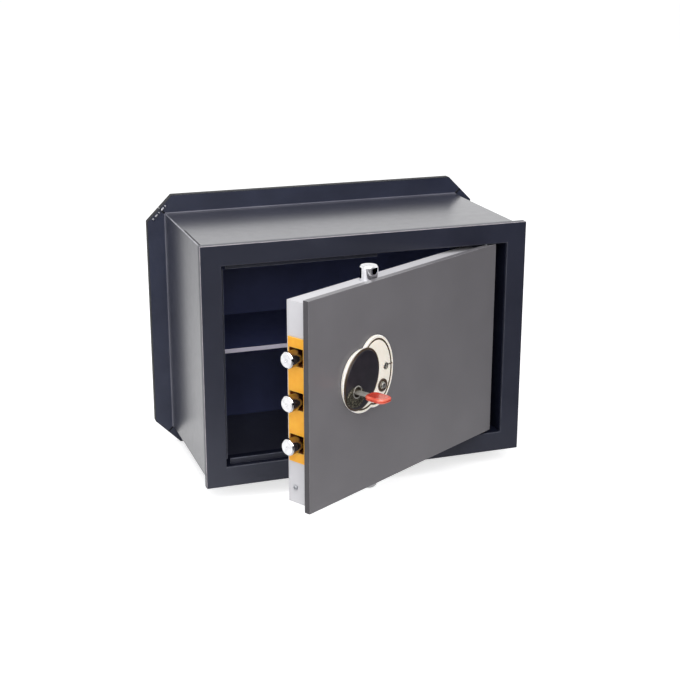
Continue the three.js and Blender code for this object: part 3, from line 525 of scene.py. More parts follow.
def outward(shape: Shape) -> Shape:
    """Merges a shape's doubles and points its faces outwards.

    Args:
        shape: The shape, which is changed.

    Returns:
        The same shape.
    """
    bmesh.ops.remove_doubles(shape, verts=shape.verts, dist=1e-5)
    bmesh.ops.recalc_face_normals(shape, faces=shape.faces)
    return shape


def moved(shape: Shape, matrix: Matrix) -> Shape:
    """Moves a shape and returns it."""
    bmesh.ops.transform(shape, matrix=matrix, verts=shape.verts)
    return shape


def flat_faces_whole(shape: Shape) -> Shape:
    """Joins the faces of a shape that lie in one plane.

    Args:
        shape: The shape, which is changed.

    Returns:
        The same shape.
    """
    bmesh.ops.dissolve_limit(
        shape,
        angle_limit=math.radians(0.5),
        verts=shape.verts,
        edges=shape.edges,
        use_dissolve_boundaries=False,
    )
    return shape


def bevelled(
    shape: Shape, edges: Sequence[bmesh.types.BMEdge], radius: float, steps: int
) -> list[bmesh.types.BMFace]:
    """Rounds some edges of a shape.

    Args:
        shape: The shape, which is changed.
        edges: The edges.
        radius: The rounding, in the shape's own unit.
        steps: How many faces go round one edge.

    Returns:
        The new faces.
    """
    made = bmesh.ops.bevel(
        shape,
        geom=edges,
        offset=radius,
        offset_type="OFFSET",
        segments=steps,
        profile=0.5,
        affect="EDGES",
        material=-1,
        clamp_overlap=True,
    )
    return made["faces"]


def rounded(shape: Shape, radius: float, steps: int = 3, sharper: float = 28.0) -> Shape:
    """Rounds a shape's sharp edges and marks the new faces for the edge colour: partly wear, mostly a
    painted highlight.

    Args:
        shape: The shape, which is changed.
        radius: The rounding, in the shape's own unit.
        steps: How many faces go round one edge.
        sharper: Only edges that turn by more than this many degrees are rounded.

    Returns:
        The same shape.
    """
    limit = math.radians(sharper)
    worn_and_lit = shape.faces.layers.float.get(WEAR_AND_HIGHLIGHT) or shape.faces.layers.float.new(WEAR_AND_HIGHLIGHT)
    edges = [e for e in shape.edges if len(e.link_faces) == 2 and e.calc_face_angle(0.0) > limit]
    for face in bevelled(shape, edges, radius, steps):
        face[worn_and_lit] = 1.0
    return shape


def block(low: Point, high: Point) -> Shape:
    """Makes a block between two corners.

    Args:
        low: The lowest corner.
        high: The highest corner.

    Returns:
        The closed shape.
    """
    shape = bmesh.new()
    bmesh.ops.create_cube(shape, size=1.0)
    size = [b - a for a, b in zip(low, high)]
    middle = Vector([(a + b) / 2 for a, b in zip(low, high)])
    return moved(shape, Matrix.Translation(middle) @ Matrix.Diagonal((*size, 1.0)))


def rod(near: float, far: float, radius: float) -> Profile:
    """The profile of a plain rod."""
    return [(near, 0.0), (near, radius), (far, radius), (far, 0.0)]


def turned(profile: Profile, start: Point, axis: Axis, steps: int = 96) -> Shape:
    """Turns a piece as on a lathe.

    Args:
        profile: Points of (how far along the axis, radius), from one end to the other.
        start: Where the axis starts.
        axis: Which way it points.
        steps: How many faces go round.

    Returns:
        The closed shape.
    """
    shape = bmesh.new()
    line = [shape.verts.new((radius, 0.0, along)) for along, radius in profile]
    edges = [shape.edges.new(pair) for pair in zip(line, line[1:])]
    bmesh.ops.spin(
        shape,
        geom=line + edges,
        cent=(0, 0, 0),
        axis=(0, 0, 1),
        angle=2 * math.pi,
        steps=steps,
        use_merge=True,
        use_duplicate=False,
    )
    return outward(moved(shape, Matrix.Translation(Vector(start)) @ axis.turn()))


def combined(first: Shape, second: Shape, join: Join) -> Shape:
    """Joins a second solid to a first or cuts it out of the first.

    Args:
        first: The solid that is added to or cut, which is used up.
        second: The other solid, which is used up.
        join: Whether the second is joined or cut out.

    Returns:
        The resulting solid.
    """
    things = []
    for shape in (first, second):
        mesh = bpy.data.meshes.new("part")
        shape.to_mesh(mesh)
        shape.free()
        things.append(bpy.data.objects.new("part", mesh))
        bpy.context.scene.collection.objects.link(things[-1])
    modifier = things[0].modifiers.new("join", "BOOLEAN")
    modifier.object = things[1]
    modifier.operation = join.value
    modifier.solver = "EXACT"
    result = bmesh.new()
    result.from_object(things[0], bpy.context.evaluated_depsgraph_get())
    for thing in things:
        mesh = thing.data
        bpy.data.objects.remove(thing)
        bpy.data.meshes.remove(mesh)
    return outward(result)


def node_copy(node: bpy.types.Object, place: Matrix | None = None) -> Shape:
    """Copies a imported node's mesh, merged and with its flat faces whole.

    Args:
        node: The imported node.
        place: Where the mesh's frame lies in metres, which the copy is taken back to.

    Returns:
        The copy, in metres or in the frame's own unit.
    """
    shape = bmesh.new()
    shape.from_mesh(node.data)
    bmesh.ops.remove_doubles(shape, verts=shape.verts, dist=2e-6)
    if place is not None:
        moved(shape, place.inverted())
    flat_faces_whole(shape)
    bmesh.ops.recalc_face_normals(shape, faces=shape.faces)
    return shape


def weld_bead(start: Point, end: Point, radius: float, pitch: float = 3.4) -> Shape:
    """Lays a rippled weld bead between two points.

    Args:
        start: Where the bead starts.
        end: Where it ends.
        radius: The bead's radius.
        pitch: About how far it is from one ripple to the next.

    Returns:
        The closed bead.
    """
    span = Vector(end) - Vector(start)
    count = max(2, round(span.length / pitch))
    step = span.length / count
    tip, trough = radius * 0.6, radius * 0.86
    profile = [(0.0, 0.0), (0.0, tip)]
    for number in range(count):
        profile += [((number + 0.35) * step, radius), ((number + 0.9) * step, trough)]
    profile += [(span.length, tip), (span.length, 0.0)]
    turn = span.to_track_quat("Z", "Y").to_matrix().to_4x4()
    bead = turned(profile, (0.0, 0.0, 0.0), Axis.PLUS_Z, 14)
    return moved(bead, Matrix.Translation(Vector(start)) @ turn)


@dataclass(frozen=True)
class Oval:
    """An oval in the closed door's face, in millimetres; it leans to the left at the top."""

    x: float
    z: float
    rx: float
    rz: float
    lean_deg: float = 0.0

    def raised(self, profile: Profile, depth: float, steps: int = 128) -> Shape:
        """Raises a piece with this outline.

        Args:
            profile: Points of (height off its seat, share of the oval's radius), from the seat to the top.
            depth: How deep its seat lies behind the door's face.
            steps: How many faces go round.

        Returns:
            The closed shape.
        """
        seat = Matrix.Translation((self.x, FRONT_Y + depth, self.z))
        turn = Matrix.Rotation(math.radians(-self.lean_deg), 4, "Y") @ Matrix.Rotation(math.pi / 2, 4, "X")
        size = Matrix.Diagonal((self.rx, self.rz, 1.0, 1.0))
        shape = turned(profile, (0.0, 0.0, 0.0), Axis.PLUS_Z, steps)
        return outward(moved(shape, seat @ turn @ size))


@dataclass
class Workshop:
    """Makes finished pieces out of shapes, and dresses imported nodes."""

    nodes: Mapping[str, bpy.types.Object]
    made: list[str] = field(default_factory=list)

    def piece(
        self,
        name: str,
        shape: Shape,
        finish: Finish,
        body: Body,
        slot: Slot,
        replaces: Sequence[str] = (),
        place: Matrix | None = None,
        inlay: Finish | None = None,
        crease: float = 32.0,
    ) -> None:
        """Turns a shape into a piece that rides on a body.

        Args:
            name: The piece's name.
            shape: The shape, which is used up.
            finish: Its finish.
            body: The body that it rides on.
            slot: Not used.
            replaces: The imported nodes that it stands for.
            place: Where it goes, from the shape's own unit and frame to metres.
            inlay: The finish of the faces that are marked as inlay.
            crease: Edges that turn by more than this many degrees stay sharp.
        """
        if place is not None:
            moved(shape, place)
        marks = shape.faces.layers.float.get(INLAY)
        for face in shape.faces:
            face.smooth = True
            face.material_index = 1 if inlay and marks and face[marks] > 0.5 else 0
        mesh = bpy.data.meshes.new(name)
        shape.to_mesh(mesh)
        shape.free()
        for layer in (finish, inlay) if inlay else (finish,):
            mesh.materials.append(Finishes.get(layer))
        mesh.set_sharp_from_angle(angle=math.radians(crease))
        made = bpy.data.objects.new(name, mesh)
        bpy.context.scene.collection.objects.link(made)
        weighted = made.modifiers.new("even_shading", "WEIGHTED_NORMAL")
        weighted.keep_sharp = True
        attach(made, body.value)
        if replaces:
            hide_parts(*replaces)
        self.made.append(name)
        LOG.info("%s: %d faces on %s", name, len(mesh.polygons), body.value)

    def fixed_piece(self, name: str, shape: Shape, finish: Finish, slot: Slot) -> None:
        """Turns a drawn shape into a piece of the fixed body that replaces nothing."""
        self.piece(name, shape, finish, Body.SAFE, slot, place=FIXED_PLACE)

    def door_piece(
        self,
        name: str,
        shape: Shape,
        finish: Finish,
        slot: Slot,
        replaces: Sequence[str] = (),
        inlay: Finish | None = None,
    ) -> None:
        """Turns a drawn shape into a piece of the door."""
        self.piece(name, shape, finish, Body.DOOR, slot, replaces, DOOR_PLACE, inlay)

    def soften(
        self,
        node: str,
        finish: Finish,
        body: Body,
        slot: Slot,
        radius_mm: float,
        inlay: Finish | None = None,
        marked: Callable[[Vector, Vector], bool] | None = None,
    ) -> None:
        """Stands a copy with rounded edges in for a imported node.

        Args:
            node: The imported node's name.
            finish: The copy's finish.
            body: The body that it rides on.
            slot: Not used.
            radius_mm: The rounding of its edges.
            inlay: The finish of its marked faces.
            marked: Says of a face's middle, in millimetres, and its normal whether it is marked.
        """
        shape = rounded(node_copy(self.nodes[node]), radius_mm * MM)
        if marked:
            shape.normal_update()
            layer = shape.faces.layers.float.new(INLAY)
            for face in shape.faces:
                face[layer] = float(marked(face.calc_center_median() / MM, face.normal))
        self.piece(f"{node}_finished", shape, finish, body, slot, [node], inlay=inlay)

    def dress(self, node: str, finish: Finish, slot: Slot) -> None:
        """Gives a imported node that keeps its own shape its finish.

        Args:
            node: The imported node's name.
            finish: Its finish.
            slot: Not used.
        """
        thing = self.nodes[node]
        thing.data.materials.clear()
        thing.data.materials.append(Finishes.get(finish))
        LOG.info("%s: dressed", node)


# The safe


@dataclass
class SafeShell:
    """The fixed body: frame, shell, wings, jambs, stops, shelf and hinge pins."""

    shop: Workshop
    half_width: float = 215.0
    half_height: float = 155.0
    wing_front: float = -12.0
    rim: float = 0.6
    weld_radius: float = 1.5
    weld_stand: float = 0.3
    spot_stand: float = 0.2
    mitre: float = 7.2
    spatter: tuple[Range, Range] = ((-213.5, 166.5), (-232.5, 147.5))
    spatter_radius: float = 1.7
    spatter_pitch: float = 2.2
    spatter_runs: tuple[Range, ...] = ((0.0, 0.08), (0.16, 0.36), (0.46, 0.54), (0.62, 0.8), (0.9, 1.0))
    shelf_front: float = -160.0
    shelf_top: float = 1.0
    lip_height: float = 5.4
    lap_shadow_inset: float = 1.5
    lap_shadow_width: float = 1.7
    lap_shadow_ends: Range = (-226.0, -120.0)

    def sheet_work(self) -> None:
        """Builds the painted sheet parts with rounded edges, whose paler edge colour is partly rubbed wear
        and mostly a painted highlight.
        """
        shop, body = self.shop, Body.SAFE
        low, high = (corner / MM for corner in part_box("front_frame"))

        def on_lit_rim(middle: Vector, normal: Vector) -> bool:
            """Whether a face of the frame lies on its outer front edge, at the top or on the left, where it
            is drawn pale as a painted highlight.
            """
            near = min(middle.x - low.x, high.z - middle.z)
            return near < self.rim and middle.y - low.y < self.rim and max(abs(n) for n in normal) < 0.99

        def on_shaded_edge(middle: Vector, normal: Vector) -> bool:
            """Whether a face of a wing is part of its outer edge, drawn near black as painted shade."""
            return Vector((middle.x, 0.0, middle.z)).normalized().dot(normal) > 0.3

        def faces_inside(middle: Vector, normal: Vector) -> bool:
            """Whether a face of the back panel looks into the safe; those faces get the lighter copy of the
            inner paint, painted light.
            """
            return normal.y < -0.5

        shop.soften("front_frame", Finishes.FRAME, body, Slot.FRAME_PAINT, 1.2, Finishes.RIM_HIGHLIGHT, on_lit_rim)
        shop.soften("body_shell", Finishes.BODY, body, Slot.BODY_PAINT, 1.3)
        shop.soften("back_panel", Finishes.BODY, body, Slot.INNER_PAINT, 0.6, Finishes.BACK_LIT, faces_inside)
        for side in ("top", "bottom", "left", "right"):
            node = f"anchor_wing_{side}"
            shop.soften(node, Finishes.WING, body, Slot.FRAME_PAINT, 0.8, Finishes.DARK_JOINT_AND_SHADE, on_shaded_edge)
        for side in ("top", "bottom", "latch", "hinge"):
            shop.soften(f"jamb_{side}", Finishes.SHADE, body, Slot.INNER_PAINT, 0.5)
        for side in ("top", "bottom", "latch"):
            shop.soften(f"door_stop_{side}", Finishes.STOP, body, Slot.INNER_PAINT, 0.5)
        for side in ("left", "right"):
            shop.soften(f"shelf_bracket_{side}", Finishes.INSIDE, body, Slot.INNER_PAINT, 0.4)

    def shelf(self) -> None:
        """Builds the dark shelf and the pale edging along its front lip."""
        self.shop.soften("shelf", Finishes.SHELF_TOP, Body.SAFE, Slot.INNER_PAINT, 0.5)
        low, high = (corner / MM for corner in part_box("shelf"))
        edging = block(
            (low.x + 0.5, self.shelf_front - 0.5, self.shelf_top - self.lip_height),
            (high.x - 0.5, self.shelf_front + 0.4, self.shelf_top + 0.15),
        )
        self.shop.fixed_piece("shelf_edging", rounded(edging, 0.3), Finishes.SHELF, Slot.SHELF_PAINT)

    def welds(self) -> None:
        """Runs a weld bead round the body in front of the wings, drawn lighter as a painted highlight, and
        a near-black spot over each mitre.
        """
        x, z = self.half_width + self.weld_stand, self.half_height + self.weld_stand
        y = self.wing_front - self.weld_stand
        corners = {"low_left": (-x, -z), "low_right": (x, -z), "high_right": (x, z), "high_left": (-x, z)}
        names = list(corners)
        for name, after in zip(names, names[1:] + names[:1]):
            (x0, z0), (x1, z1) = corners[name], corners[after]
            bead = weld_bead((x0, y, z0), (x1, y, z1), self.weld_radius)
            self.shop.fixed_piece(f"wing_weld_{name}", bead, Finishes.WELD_HIGHLIGHT, Slot.FRAME_PAINT)
            start = (x0, y + self.spot_stand, z0)
            end = (x0 + math.copysign(self.mitre, x0), start[1], z0 + math.copysign(self.mitre, z0))
            spot = weld_bead(start, end, self.weld_radius * 0.8)
            self.shop.fixed_piece(f"mitre_weld_{name}", spot, Finishes.DARK_JOINT_AND_SHADE, Slot.FRAME_PAINT)

    def corner_spatter(self) -> None:
        """Lays the broken weld spatter along the chamfer of the upper left wing corner."""
        y = self.wing_front - self.weld_stand + 0.1
        start, end = (Vector((x, y, z)) for x, z in self.spatter)
        for number, (first, last) in enumerate(self.spatter_runs, start=1):
            ends = start.lerp(end, first), start.lerp(end, last)
            bead = weld_bead(*ends, self.spatter_radius, self.spatter_pitch)
            self.shop.fixed_piece(f"chamfer_weld_{number}", bead, Finishes.SPATTER, Slot.STEEL)

    def lap_and_shadow(self) -> None:
        """Draws the lap of the top sheet over the side along the front half of the left edge as a
        near-black strip: the lap and its painted shadow line.
        """
        x, z = -self.half_width + self.lap_shadow_inset, self.half_height
        front, rear = self.lap_shadow_ends
        lap_shadow = block((x, front, z - 0.4), (x + self.lap_shadow_width, rear, z + 0.2))
        self.shop.fixed_piece("body_lap_and_shadow", lap_shadow, Finishes.DARK_JOINT_AND_SHADE, Slot.BODY_PAINT)

    def build(self) -> None:
        """Builds and dresses every fixed piece."""
        self.sheet_work()
        self.shelf()
        self.welds()
        self.corner_spatter()
        self.lap_and_shadow()
        for node in ("hinge_pin_top", "hinge_pin_bottom"):
            self.shop.dress(node, Finishes.STEEL, Slot.STEEL)
        self.shop.dress("thrust_collar", Finishes.BRASS, Slot.BRASS)


@dataclass
class DoorLeaf:
    """The door's plate, box, rear cover, screws and guard strip."""

    shop: Workshop
    box_left: float = -185.5
    box_wall: float = 2.0
    bolt_hole: float = 10.5
    pocket_half: float = 11.0
    pocket_depth: float = 5.2
    pocket_wall: float = 0.6
    pocket_floor: float = 0.8
    screw_columns: Triple = (-177.5, -12.25, 153.0)
    screw_rows: Range = (-116.0, 118.0)
    cover_y: float = FRONT_Y + 38.6
    box_screw_seat: Triple = (-185.8, FRONT_Y + 27.0, -104.0)

    def box(self) -> None:
        """Builds the silver box, with a square cut out of its free edge behind each bolt pocket."""
        shape = node_copy(self.shop.nodes["door_box"], DOOR_PLACE)
        half = self.pocket_half + 0.3
        for z in BOLT_ROWS.values():
            low = (self.box_left - 1.0, BOLT_Y - half, z - half)
            high = (self.box_left + self.box_wall + 0.5, BOLT_Y + half, z + half)
            shape = combined(shape, block(low, high), Join.WITHOUT)
        shape = rounded(flat_faces_whole(shape), 0.7)
        self.shop.door_piece("door_box_finished", shape, Finishes.SILVER, Slot.BOX_PAINT, ["door_box"])

    def pockets(self) -> None:
        """Builds the pocket that each side bolt comes out of, in amber nylon drawn dark brown as painted
        shade.
        """
        y, half, inner = BOLT_Y, self.pocket_half, self.pocket_half - self.pocket_wall
        front, back = self.box_left - 0.3, self.box_left + self.pocket_depth
        floor = back - self.pocket_floor
        for name, z in BOLT_ROWS.items():
            tray = block((front, y - half, z - half), (back, y + half, z + half))
            hollow = block((front - 1.0, y - inner, z - inner), (floor, y + inner, z + inner))
            hole = turned(rod(0.0, 12.0, self.bolt_hole), (front - 2.0, y, z), Axis.PLUS_X, 64)
            tray = combined(combined(tray, hollow, Join.WITHOUT), hole, Join.WITHOUT)
            self.shop.door_piece(f"bolt_pocket_{name}", tray, Finishes.POCKET_SHADE, Slot.AMBER)

    def screw(self, seat: Point, axis: Axis) -> Shape:
        """Makes a pan-head screw with a cross recess.

        Args:
            seat: The centre of the face that its head sits on.
            axis: Which way its head points.

        Returns:
            The closed shape.
        """
        shank = 7.6
        start = Vector(seat) - axis.ahead() * shank
        head = ((0.0, 3.4), (0.5, 3.5), (1.3, 3.2), (1.8, 2.4), (2.0, 1.2), (2.0, 0.0))
        profile = [(0.0, 0.0), (0.0, 1.7), (shank, 1.7), *((shank + height, r) for height, r in head)]
        shape = turned(profile, start, axis, 40)
        for half_x, half_y in ((2.1, 0.45), (0.45, 2.1)):
            slot = block((-half_x, -half_y, 0.9), (half_x, half_y, 3.0))
            moved(slot, Matrix.Translation(Vector(seat)) @ axis.turn())
            shape = combined(shape, slot, Join.WITHOUT)
        return shape

    def screws(self) -> None:
        """Builds the rear cover's six screws and the one low on the free edge."""
        seats = [(x, self.cover_y, z) for z in self.screw_rows for x in self.screw_columns]
        rows = [(f"cover_screw_{number}", seat, Axis.PLUS_Y) for number, seat in enumerate(seats, start=1)]
        for node, seat, axis in (*rows, ("box_screw", self.box_screw_seat, Axis.MINUS_X)):
            self.shop.door_piece(f"{node}_pan", self.screw(seat, axis), Finishes.STEEL, Slot.STEEL, [node])

    def build(self) -> None:
        """Builds and dresses every piece of the leaf."""
        shop, body = self.shop, Body.DOOR
        free_way = SWING.to_3x3() @ Vector((-1.0, 0.0, 0.0))

        def on_shaded_free_edge(middle: Vector, normal: Vector) -> bool:
            """Whether a face of the plate lies on the edge away from the hinge, which is drawn darker as
            painted shade.
            """
            return normal.dot(free_way) > 0.8

        edge = Finishes.DOOR_EDGE_SHADE
        shop.soften("door_plate", Finishes.DOOR, body, Slot.DOOR_PAINT, 1.1, edge, on_shaded_free_edge)
        self.box()
        shop.soften("rear_cover", Finishes.SILVER, body, Slot.BOX_PAINT, 0.5)
        shop.soften("guard_strip", Finishes.AMBER, body, Slot.AMBER, 0.45)
        self.pockets()
        self.screws()
        for node in ("hinge_block_top", "hinge_block_bottom"):
            shop.soften(node, Finishes.DOOR, body, Slot.DOOR_PAINT, 0.5)
        for node in ("hard_plate", "lock_case", "rod_guide_top", "rod_guide_bottom"):
            shop.dress(node, Finishes.DULL_STEEL, Slot.STEEL)


@dataclass
class BoltWork:
    """The chromed bolts and the steel parts that draw them."""

    shop: Workshop
    side_radius: float = 10.0
    side_tip_x: float = -203.5
    side_length: float = 40.0
    upright_radius: float = 11.5
    upright_x: float = -57.0
    chamfer: float = 1.5

    def bolt(self, length: float, radius: float, start: Point, axis: Axis) -> Shape:
        """Turns a bolt with a chamfered rim, a faced end and a small centre mark.

        Args:
            length: The bolt's length.
            radius: Its radius.
            start: The middle of its inner end.
            axis: Which way it points.

        Returns:
            The closed shape.
        """
        face = radius - self.chamfer
        profile = [
            (0.0, 0.0),
            (0.0, radius - 0.5),
            (0.5, radius),
            (length - self.chamfer - 0.35, radius),
            (length - self.chamfer, radius - 0.12),
            (length - 0.2, face + 0.2),
            (length, face - 0.15),
            (length - 0.1, face - 0.9),
            (length - 0.1, 2.6),
            (length - 0.5, 1.8),
            (length - 1.3, 0.0),
        ]
        return turned(profile, start, axis)

    def side_bolt(self, z: float) -> Shape:
        """Makes a side bolt, its barrel marked as inlay for the darkened chrome, a painted dark reflection.

        Args:
            z: The height of its axis.

        Returns:
            The closed shape.
        """
        axis = Axis.MINUS_X
        inner = (self.side_tip_x + self.side_length, BOLT_Y, z)
        shape = self.bolt(self.side_length, self.side_radius, inner, axis)
        barrel = shape.faces.layers.float.new(INLAY)
        shape.normal_update()
        for face in shape.faces:
            face[barrel] = float(abs(face.normal.dot(axis.ahead())) < 0.4)
        return shape

    def build(self) -> None:
        """Builds the visible bolts and dresses the hidden works."""
        shop, chrome, dark_reflection = self.shop, Finishes.CHROME, Finishes.DARKENED_CHROME
        for name, z in BOLT_ROWS.items():
            node, body = f"side_bolt_{name}", Body.SIDE_BOLTS
            shape = self.side_bolt(z)
            shop.piece(f"{node}_turned", shape, chrome, body, Slot.CHROME, [node], DOOR_PLACE, dark_reflection)
        for node, body, axis in (
            ("top_bolt", Body.UPPER_BOLT, Axis.PLUS_Z),
            ("bottom_bolt", Body.LOWER_BOLT, Axis.MINUS_Z),
        ):
            low, high = (corner.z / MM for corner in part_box(node))
            inner = (self.upright_x, BOLT_Y, low if axis is Axis.PLUS_Z else high)
            shape = self.bolt(high - low, self.upright_radius, inner, axis)
            shop.piece(f"{node}_turned", shape, chrome, body, Slot.CHROME, [node], DOOR_PLACE)
        for node in ("bolt_carriage", "carriage_rack", "top_rod", "bottom_rod", "drive_pinion"):
            shop.dress(node, Finishes.DULL_STEEL, Slot.STEEL)


@dataclass
class LockFace:
    """The cream lock plate and what it carries. Seats are depths behind the door's face."""

    shop: Workshop
    left_lobe: Oval = Oval(-99.2, 13.9, 36.5, 40.5, 12.0)
    right_lobe: Oval = Oval(-75.3, 20.0, 33.0, 45.5)
    faceplate: Oval = Oval(-103.1, 17.3, 28.9, 37.4, -24.6)
    escutcheon: Oval = Oval(-117.3, -0.9, 15.5, 12.6)
    bore: Oval = Oval(KEYHOLE_X, KEYHOLE_Z, 6.6, 6.6)
    index_screw: Oval = Oval(-58.0, 23.2, 4.5, 4.5)
    cap: Oval = Oval(-64.0, 0.0, 6.0, 6.0)
    cap_ring: Oval = Oval(-64.0, 0.0, 8.2, 8.2)
    lobe_seat: float = -0.3
    plate_seat: float = -4.6
    escutcheon_seat: float = -6.9
    collar_seat: float = -8.8

    def backplate(self) -> None:
        """Builds the cream plate: two lobes in one, a rim, a dark groove inside it and a soft crown."""
        slab = rod(0.0, 4.0, 1.0)
        left, right = (lobe.raised(slab, self.lobe_seat) for lobe in (self.left_lobe, self.right_lobe))
        shape = combined(left, right, Join.WITH)
        rounded(flat_faces_whole(shape), 1.1, 4, 50.0)
        inlay = shape.faces.layers.float.new(INLAY)
        shape.normal_update()
        face = max((f for f in shape.faces if f.normal.y < -0.99), key=lambda f: f.calc_area())
        rim, crown = ((2.4, 0.0),), ((4.0, 0.35), (5.0, 0.25))
        groove = ((0.4, -1.2), (1.5, 0.0), (0.4, 1.2))
        for width, rise in (*rim, *groove, *crown):
            ring = bmesh.ops.inset_region(
                shape, faces=[face], thickness=width, depth=rise, use_even_offset=True, use_boundary=True
            )
            if (width, rise) in groove:
                for part in ring["faces"]:
                    part[inlay] = 1.0
        name, node = "lock_backplate_moulded", "lock_backplate"
        self.shop.door_piece(name, shape, Finishes.CREAM, Slot.CREAM, [node], Finishes.GROOVE)

    def dark_plate(self) -> None:
        """Builds the dark domed oval and the brown edge round it."""
        dome = [(0.0, 0.0), (0.0, 0.985), (1.3, 0.985), (1.8, 0.972), (2.05, 0.945), (2.3, 0.8)]
        dome += [(2.55, 0.55), (2.7, 0.25), (2.75, 0.0)]
        plate = self.faceplate.raised(dome, self.plate_seat)
        name, node = "lock_faceplate_domed", "lock_faceplate"
        self.shop.door_piece(name, plate, Finishes.DARK, Slot.DARK_PLASTIC, [node])
        edge = [(-0.3, 0.98), (-0.3, 1.045), (0.7, 1.045), (1.25, 1.03), (1.45, 1.005), (1.4, 0.98)]
        band = self.faceplate.raised(edge + edge[:1], self.plate_seat)
        self.shop.door_piece("lock_faceplate_edge", band, Finishes.BROWN, Slot.DARK_PLASTIC)

    def key_surround(self) -> None:
        """Builds the oval escutcheon, with a raised rim, and the bright collar round the plug."""
        dish = [(0.0, 0.0), (0.0, 1.0), (1.6, 1.0), (2.2, 0.985)]
        dish += [(2.5, 0.94), (2.5, 0.88), (2.0, 0.84), (2.0, 0.0)]
        hole = self.bore.raised(rod(-6.0, 12.0, 1.0), self.escutcheon_seat, 72)
        shape = combined(self.escutcheon.raised(dish, self.escutcheon_seat, 96), hole, Join.WITHOUT)
        name, node = "key_escutcheon_cast", "key_escutcheon"
        self.shop.door_piece(name, shape, Finishes.CASTING, Slot.STEEL, [node])
        collar = [(0.0, 1.0), (0.0, 1.2), (0.7, 1.2), (1.0, 1.13), (1.0, 1.04), (0.8, 1.0), (0.0, 1.0)]
        ring = self.bore.raised(collar, self.collar_seat, 72)
        self.shop.door_piece("plug_collar", ring, Finishes.KEY_STEEL, Slot.STEEL)

    def index_mark(self) -> None:
        """Builds the small slotted screw on the right lobe and the line from it to the rim."""
        mark = self.index_screw
        head = [(0.0, 0.0), (0.0, 1.0), (0.8, 1.0), (1.1, 0.93), (1.2, 0.8), (1.2, 0.0)]
        shape = mark.raised(head, self.plate_seat, 56)
        for half_x, half_z in ((3.4, 0.6), (0.6, 3.4)):
            low = (mark.x - half_x, FRONT_Y - 7.0, mark.z - half_z)
            high = (mark.x + half_x, FRONT_Y - 5.1, mark.z + half_z)
            shape = combined(shape, block(low, high), Join.WITHOUT)
        name, node = "faceplate_screw_slotted", "faceplate_screw"
        self.shop.door_piece(name, shape, Finishes.KEY_STEEL, Slot.STEEL, [node])
        low = (mark.x + mark.rx + 0.3, FRONT_Y - 5.15, mark.z + 0.2)
        high = (mark.x + 12.6, FRONT_Y - 4.0, mark.z + 1.3)
        line = rounded(block(low, high), 0.2)
        self.shop.door_piece("index_line", line, Finishes.BROWN, Slot.DARK_PLASTIC)

    def round_cap(self) -> None:
        """Builds the dark ring low on the right lobe and the bright pin inside it."""
        pin = [(0.0, 0.0), (0.0, 0.62), (2.6, 0.62), (3.2, 0.52), (3.5, 0.3), (3.5, 0.0)]
        shape = self.cap.raised(pin, self.plate_seat, 64)
        name, node = "backplate_cap_pin", "backplate_cap"
        self.shop.door_piece(name, shape, Finishes.KEY_STEEL, Slot.STEEL, [node])
        ring = [(0.0, 0.55), (0.0, 1.0), (1.2, 1.0), (1.8, 0.94), (2.0, 0.84), (1.8, 0.74)]
        ring += [(0.9, 0.66), (0.9, 0.55), (0.0, 0.55)]
        shape = self.cap_ring.raised(ring, self.plate_seat, 72)
        self.shop.door_piece("cap_ring_moulded", shape, Finishes.BROWN, Slot.DARK_PLASTIC, ["cap_ring"])

    def build(self) -> None:
        """Builds and dresses the lock's visible face."""
        self.backplate()
        self.dark_plate()
        self.key_surround()
        self.index_mark()
        self.round_cap()
        self.shop.soften("lock_plug", Finishes.PLUG, Body.PLUG, Slot.BRASS, 0.4)


@dataclass
class Key:
    """The key in the lock: a flat blade and a moulded bow."""

    shop: Workshop
    bow_middle: Triple = (KEYHOLE_X, FRONT_Y - 41.0, KEYHOLE_Z)
    bow_half: Triple = (11.0, 15.0, 3.0)
    bow_corner: float = 8.0
    bow_edge: float = 2.5
    thumb_rest: tuple[Range, Range] = ((1.6, 0.0), (1.2, -0.5))

    def bow(self) -> None:
        """Builds the red bow: a pebble with round corners and a shallow thumb rest above and below."""
        sides = list(zip(self.bow_middle, self.bow_half))
        shape = block([at - reach for at, reach in sides], [at + reach for at, reach in sides])
        upright = [e for e in shape.edges if abs(e.verts[0].co.z - e.verts[1].co.z) > 1.0]
        bevelled(shape, upright, self.bow_corner, 10)
        rounded(shape, self.bow_edge, 7, 40.0)
        shape.normal_update()
        for face in [f for f in shape.faces if abs(f.normal.z) > 0.99 and f.calc_area() > 50.0]:
            for width, rise in self.thumb_rest:
                bmesh.ops.inset_region(
                    shape, faces=[face], thickness=width, depth=rise, use_even_offset=True
                )
        red, body, node = Finishes.RED, Body.KEY, "key_bow"
        self.shop.piece("key_bow_moulded", shape, red, body, Slot.RED, [node], DOOR_PLACE, crease=50.0)

    def build(self) -> None:
        """Builds and dresses the key."""
        self.shop.soften("key_blade", Finishes.KEY_STEEL, Body.KEY, Slot.STEEL, 0.3)
        self.bow()


# Studio

WHITE = (1.0, 1.0, 1.0, 1.0)


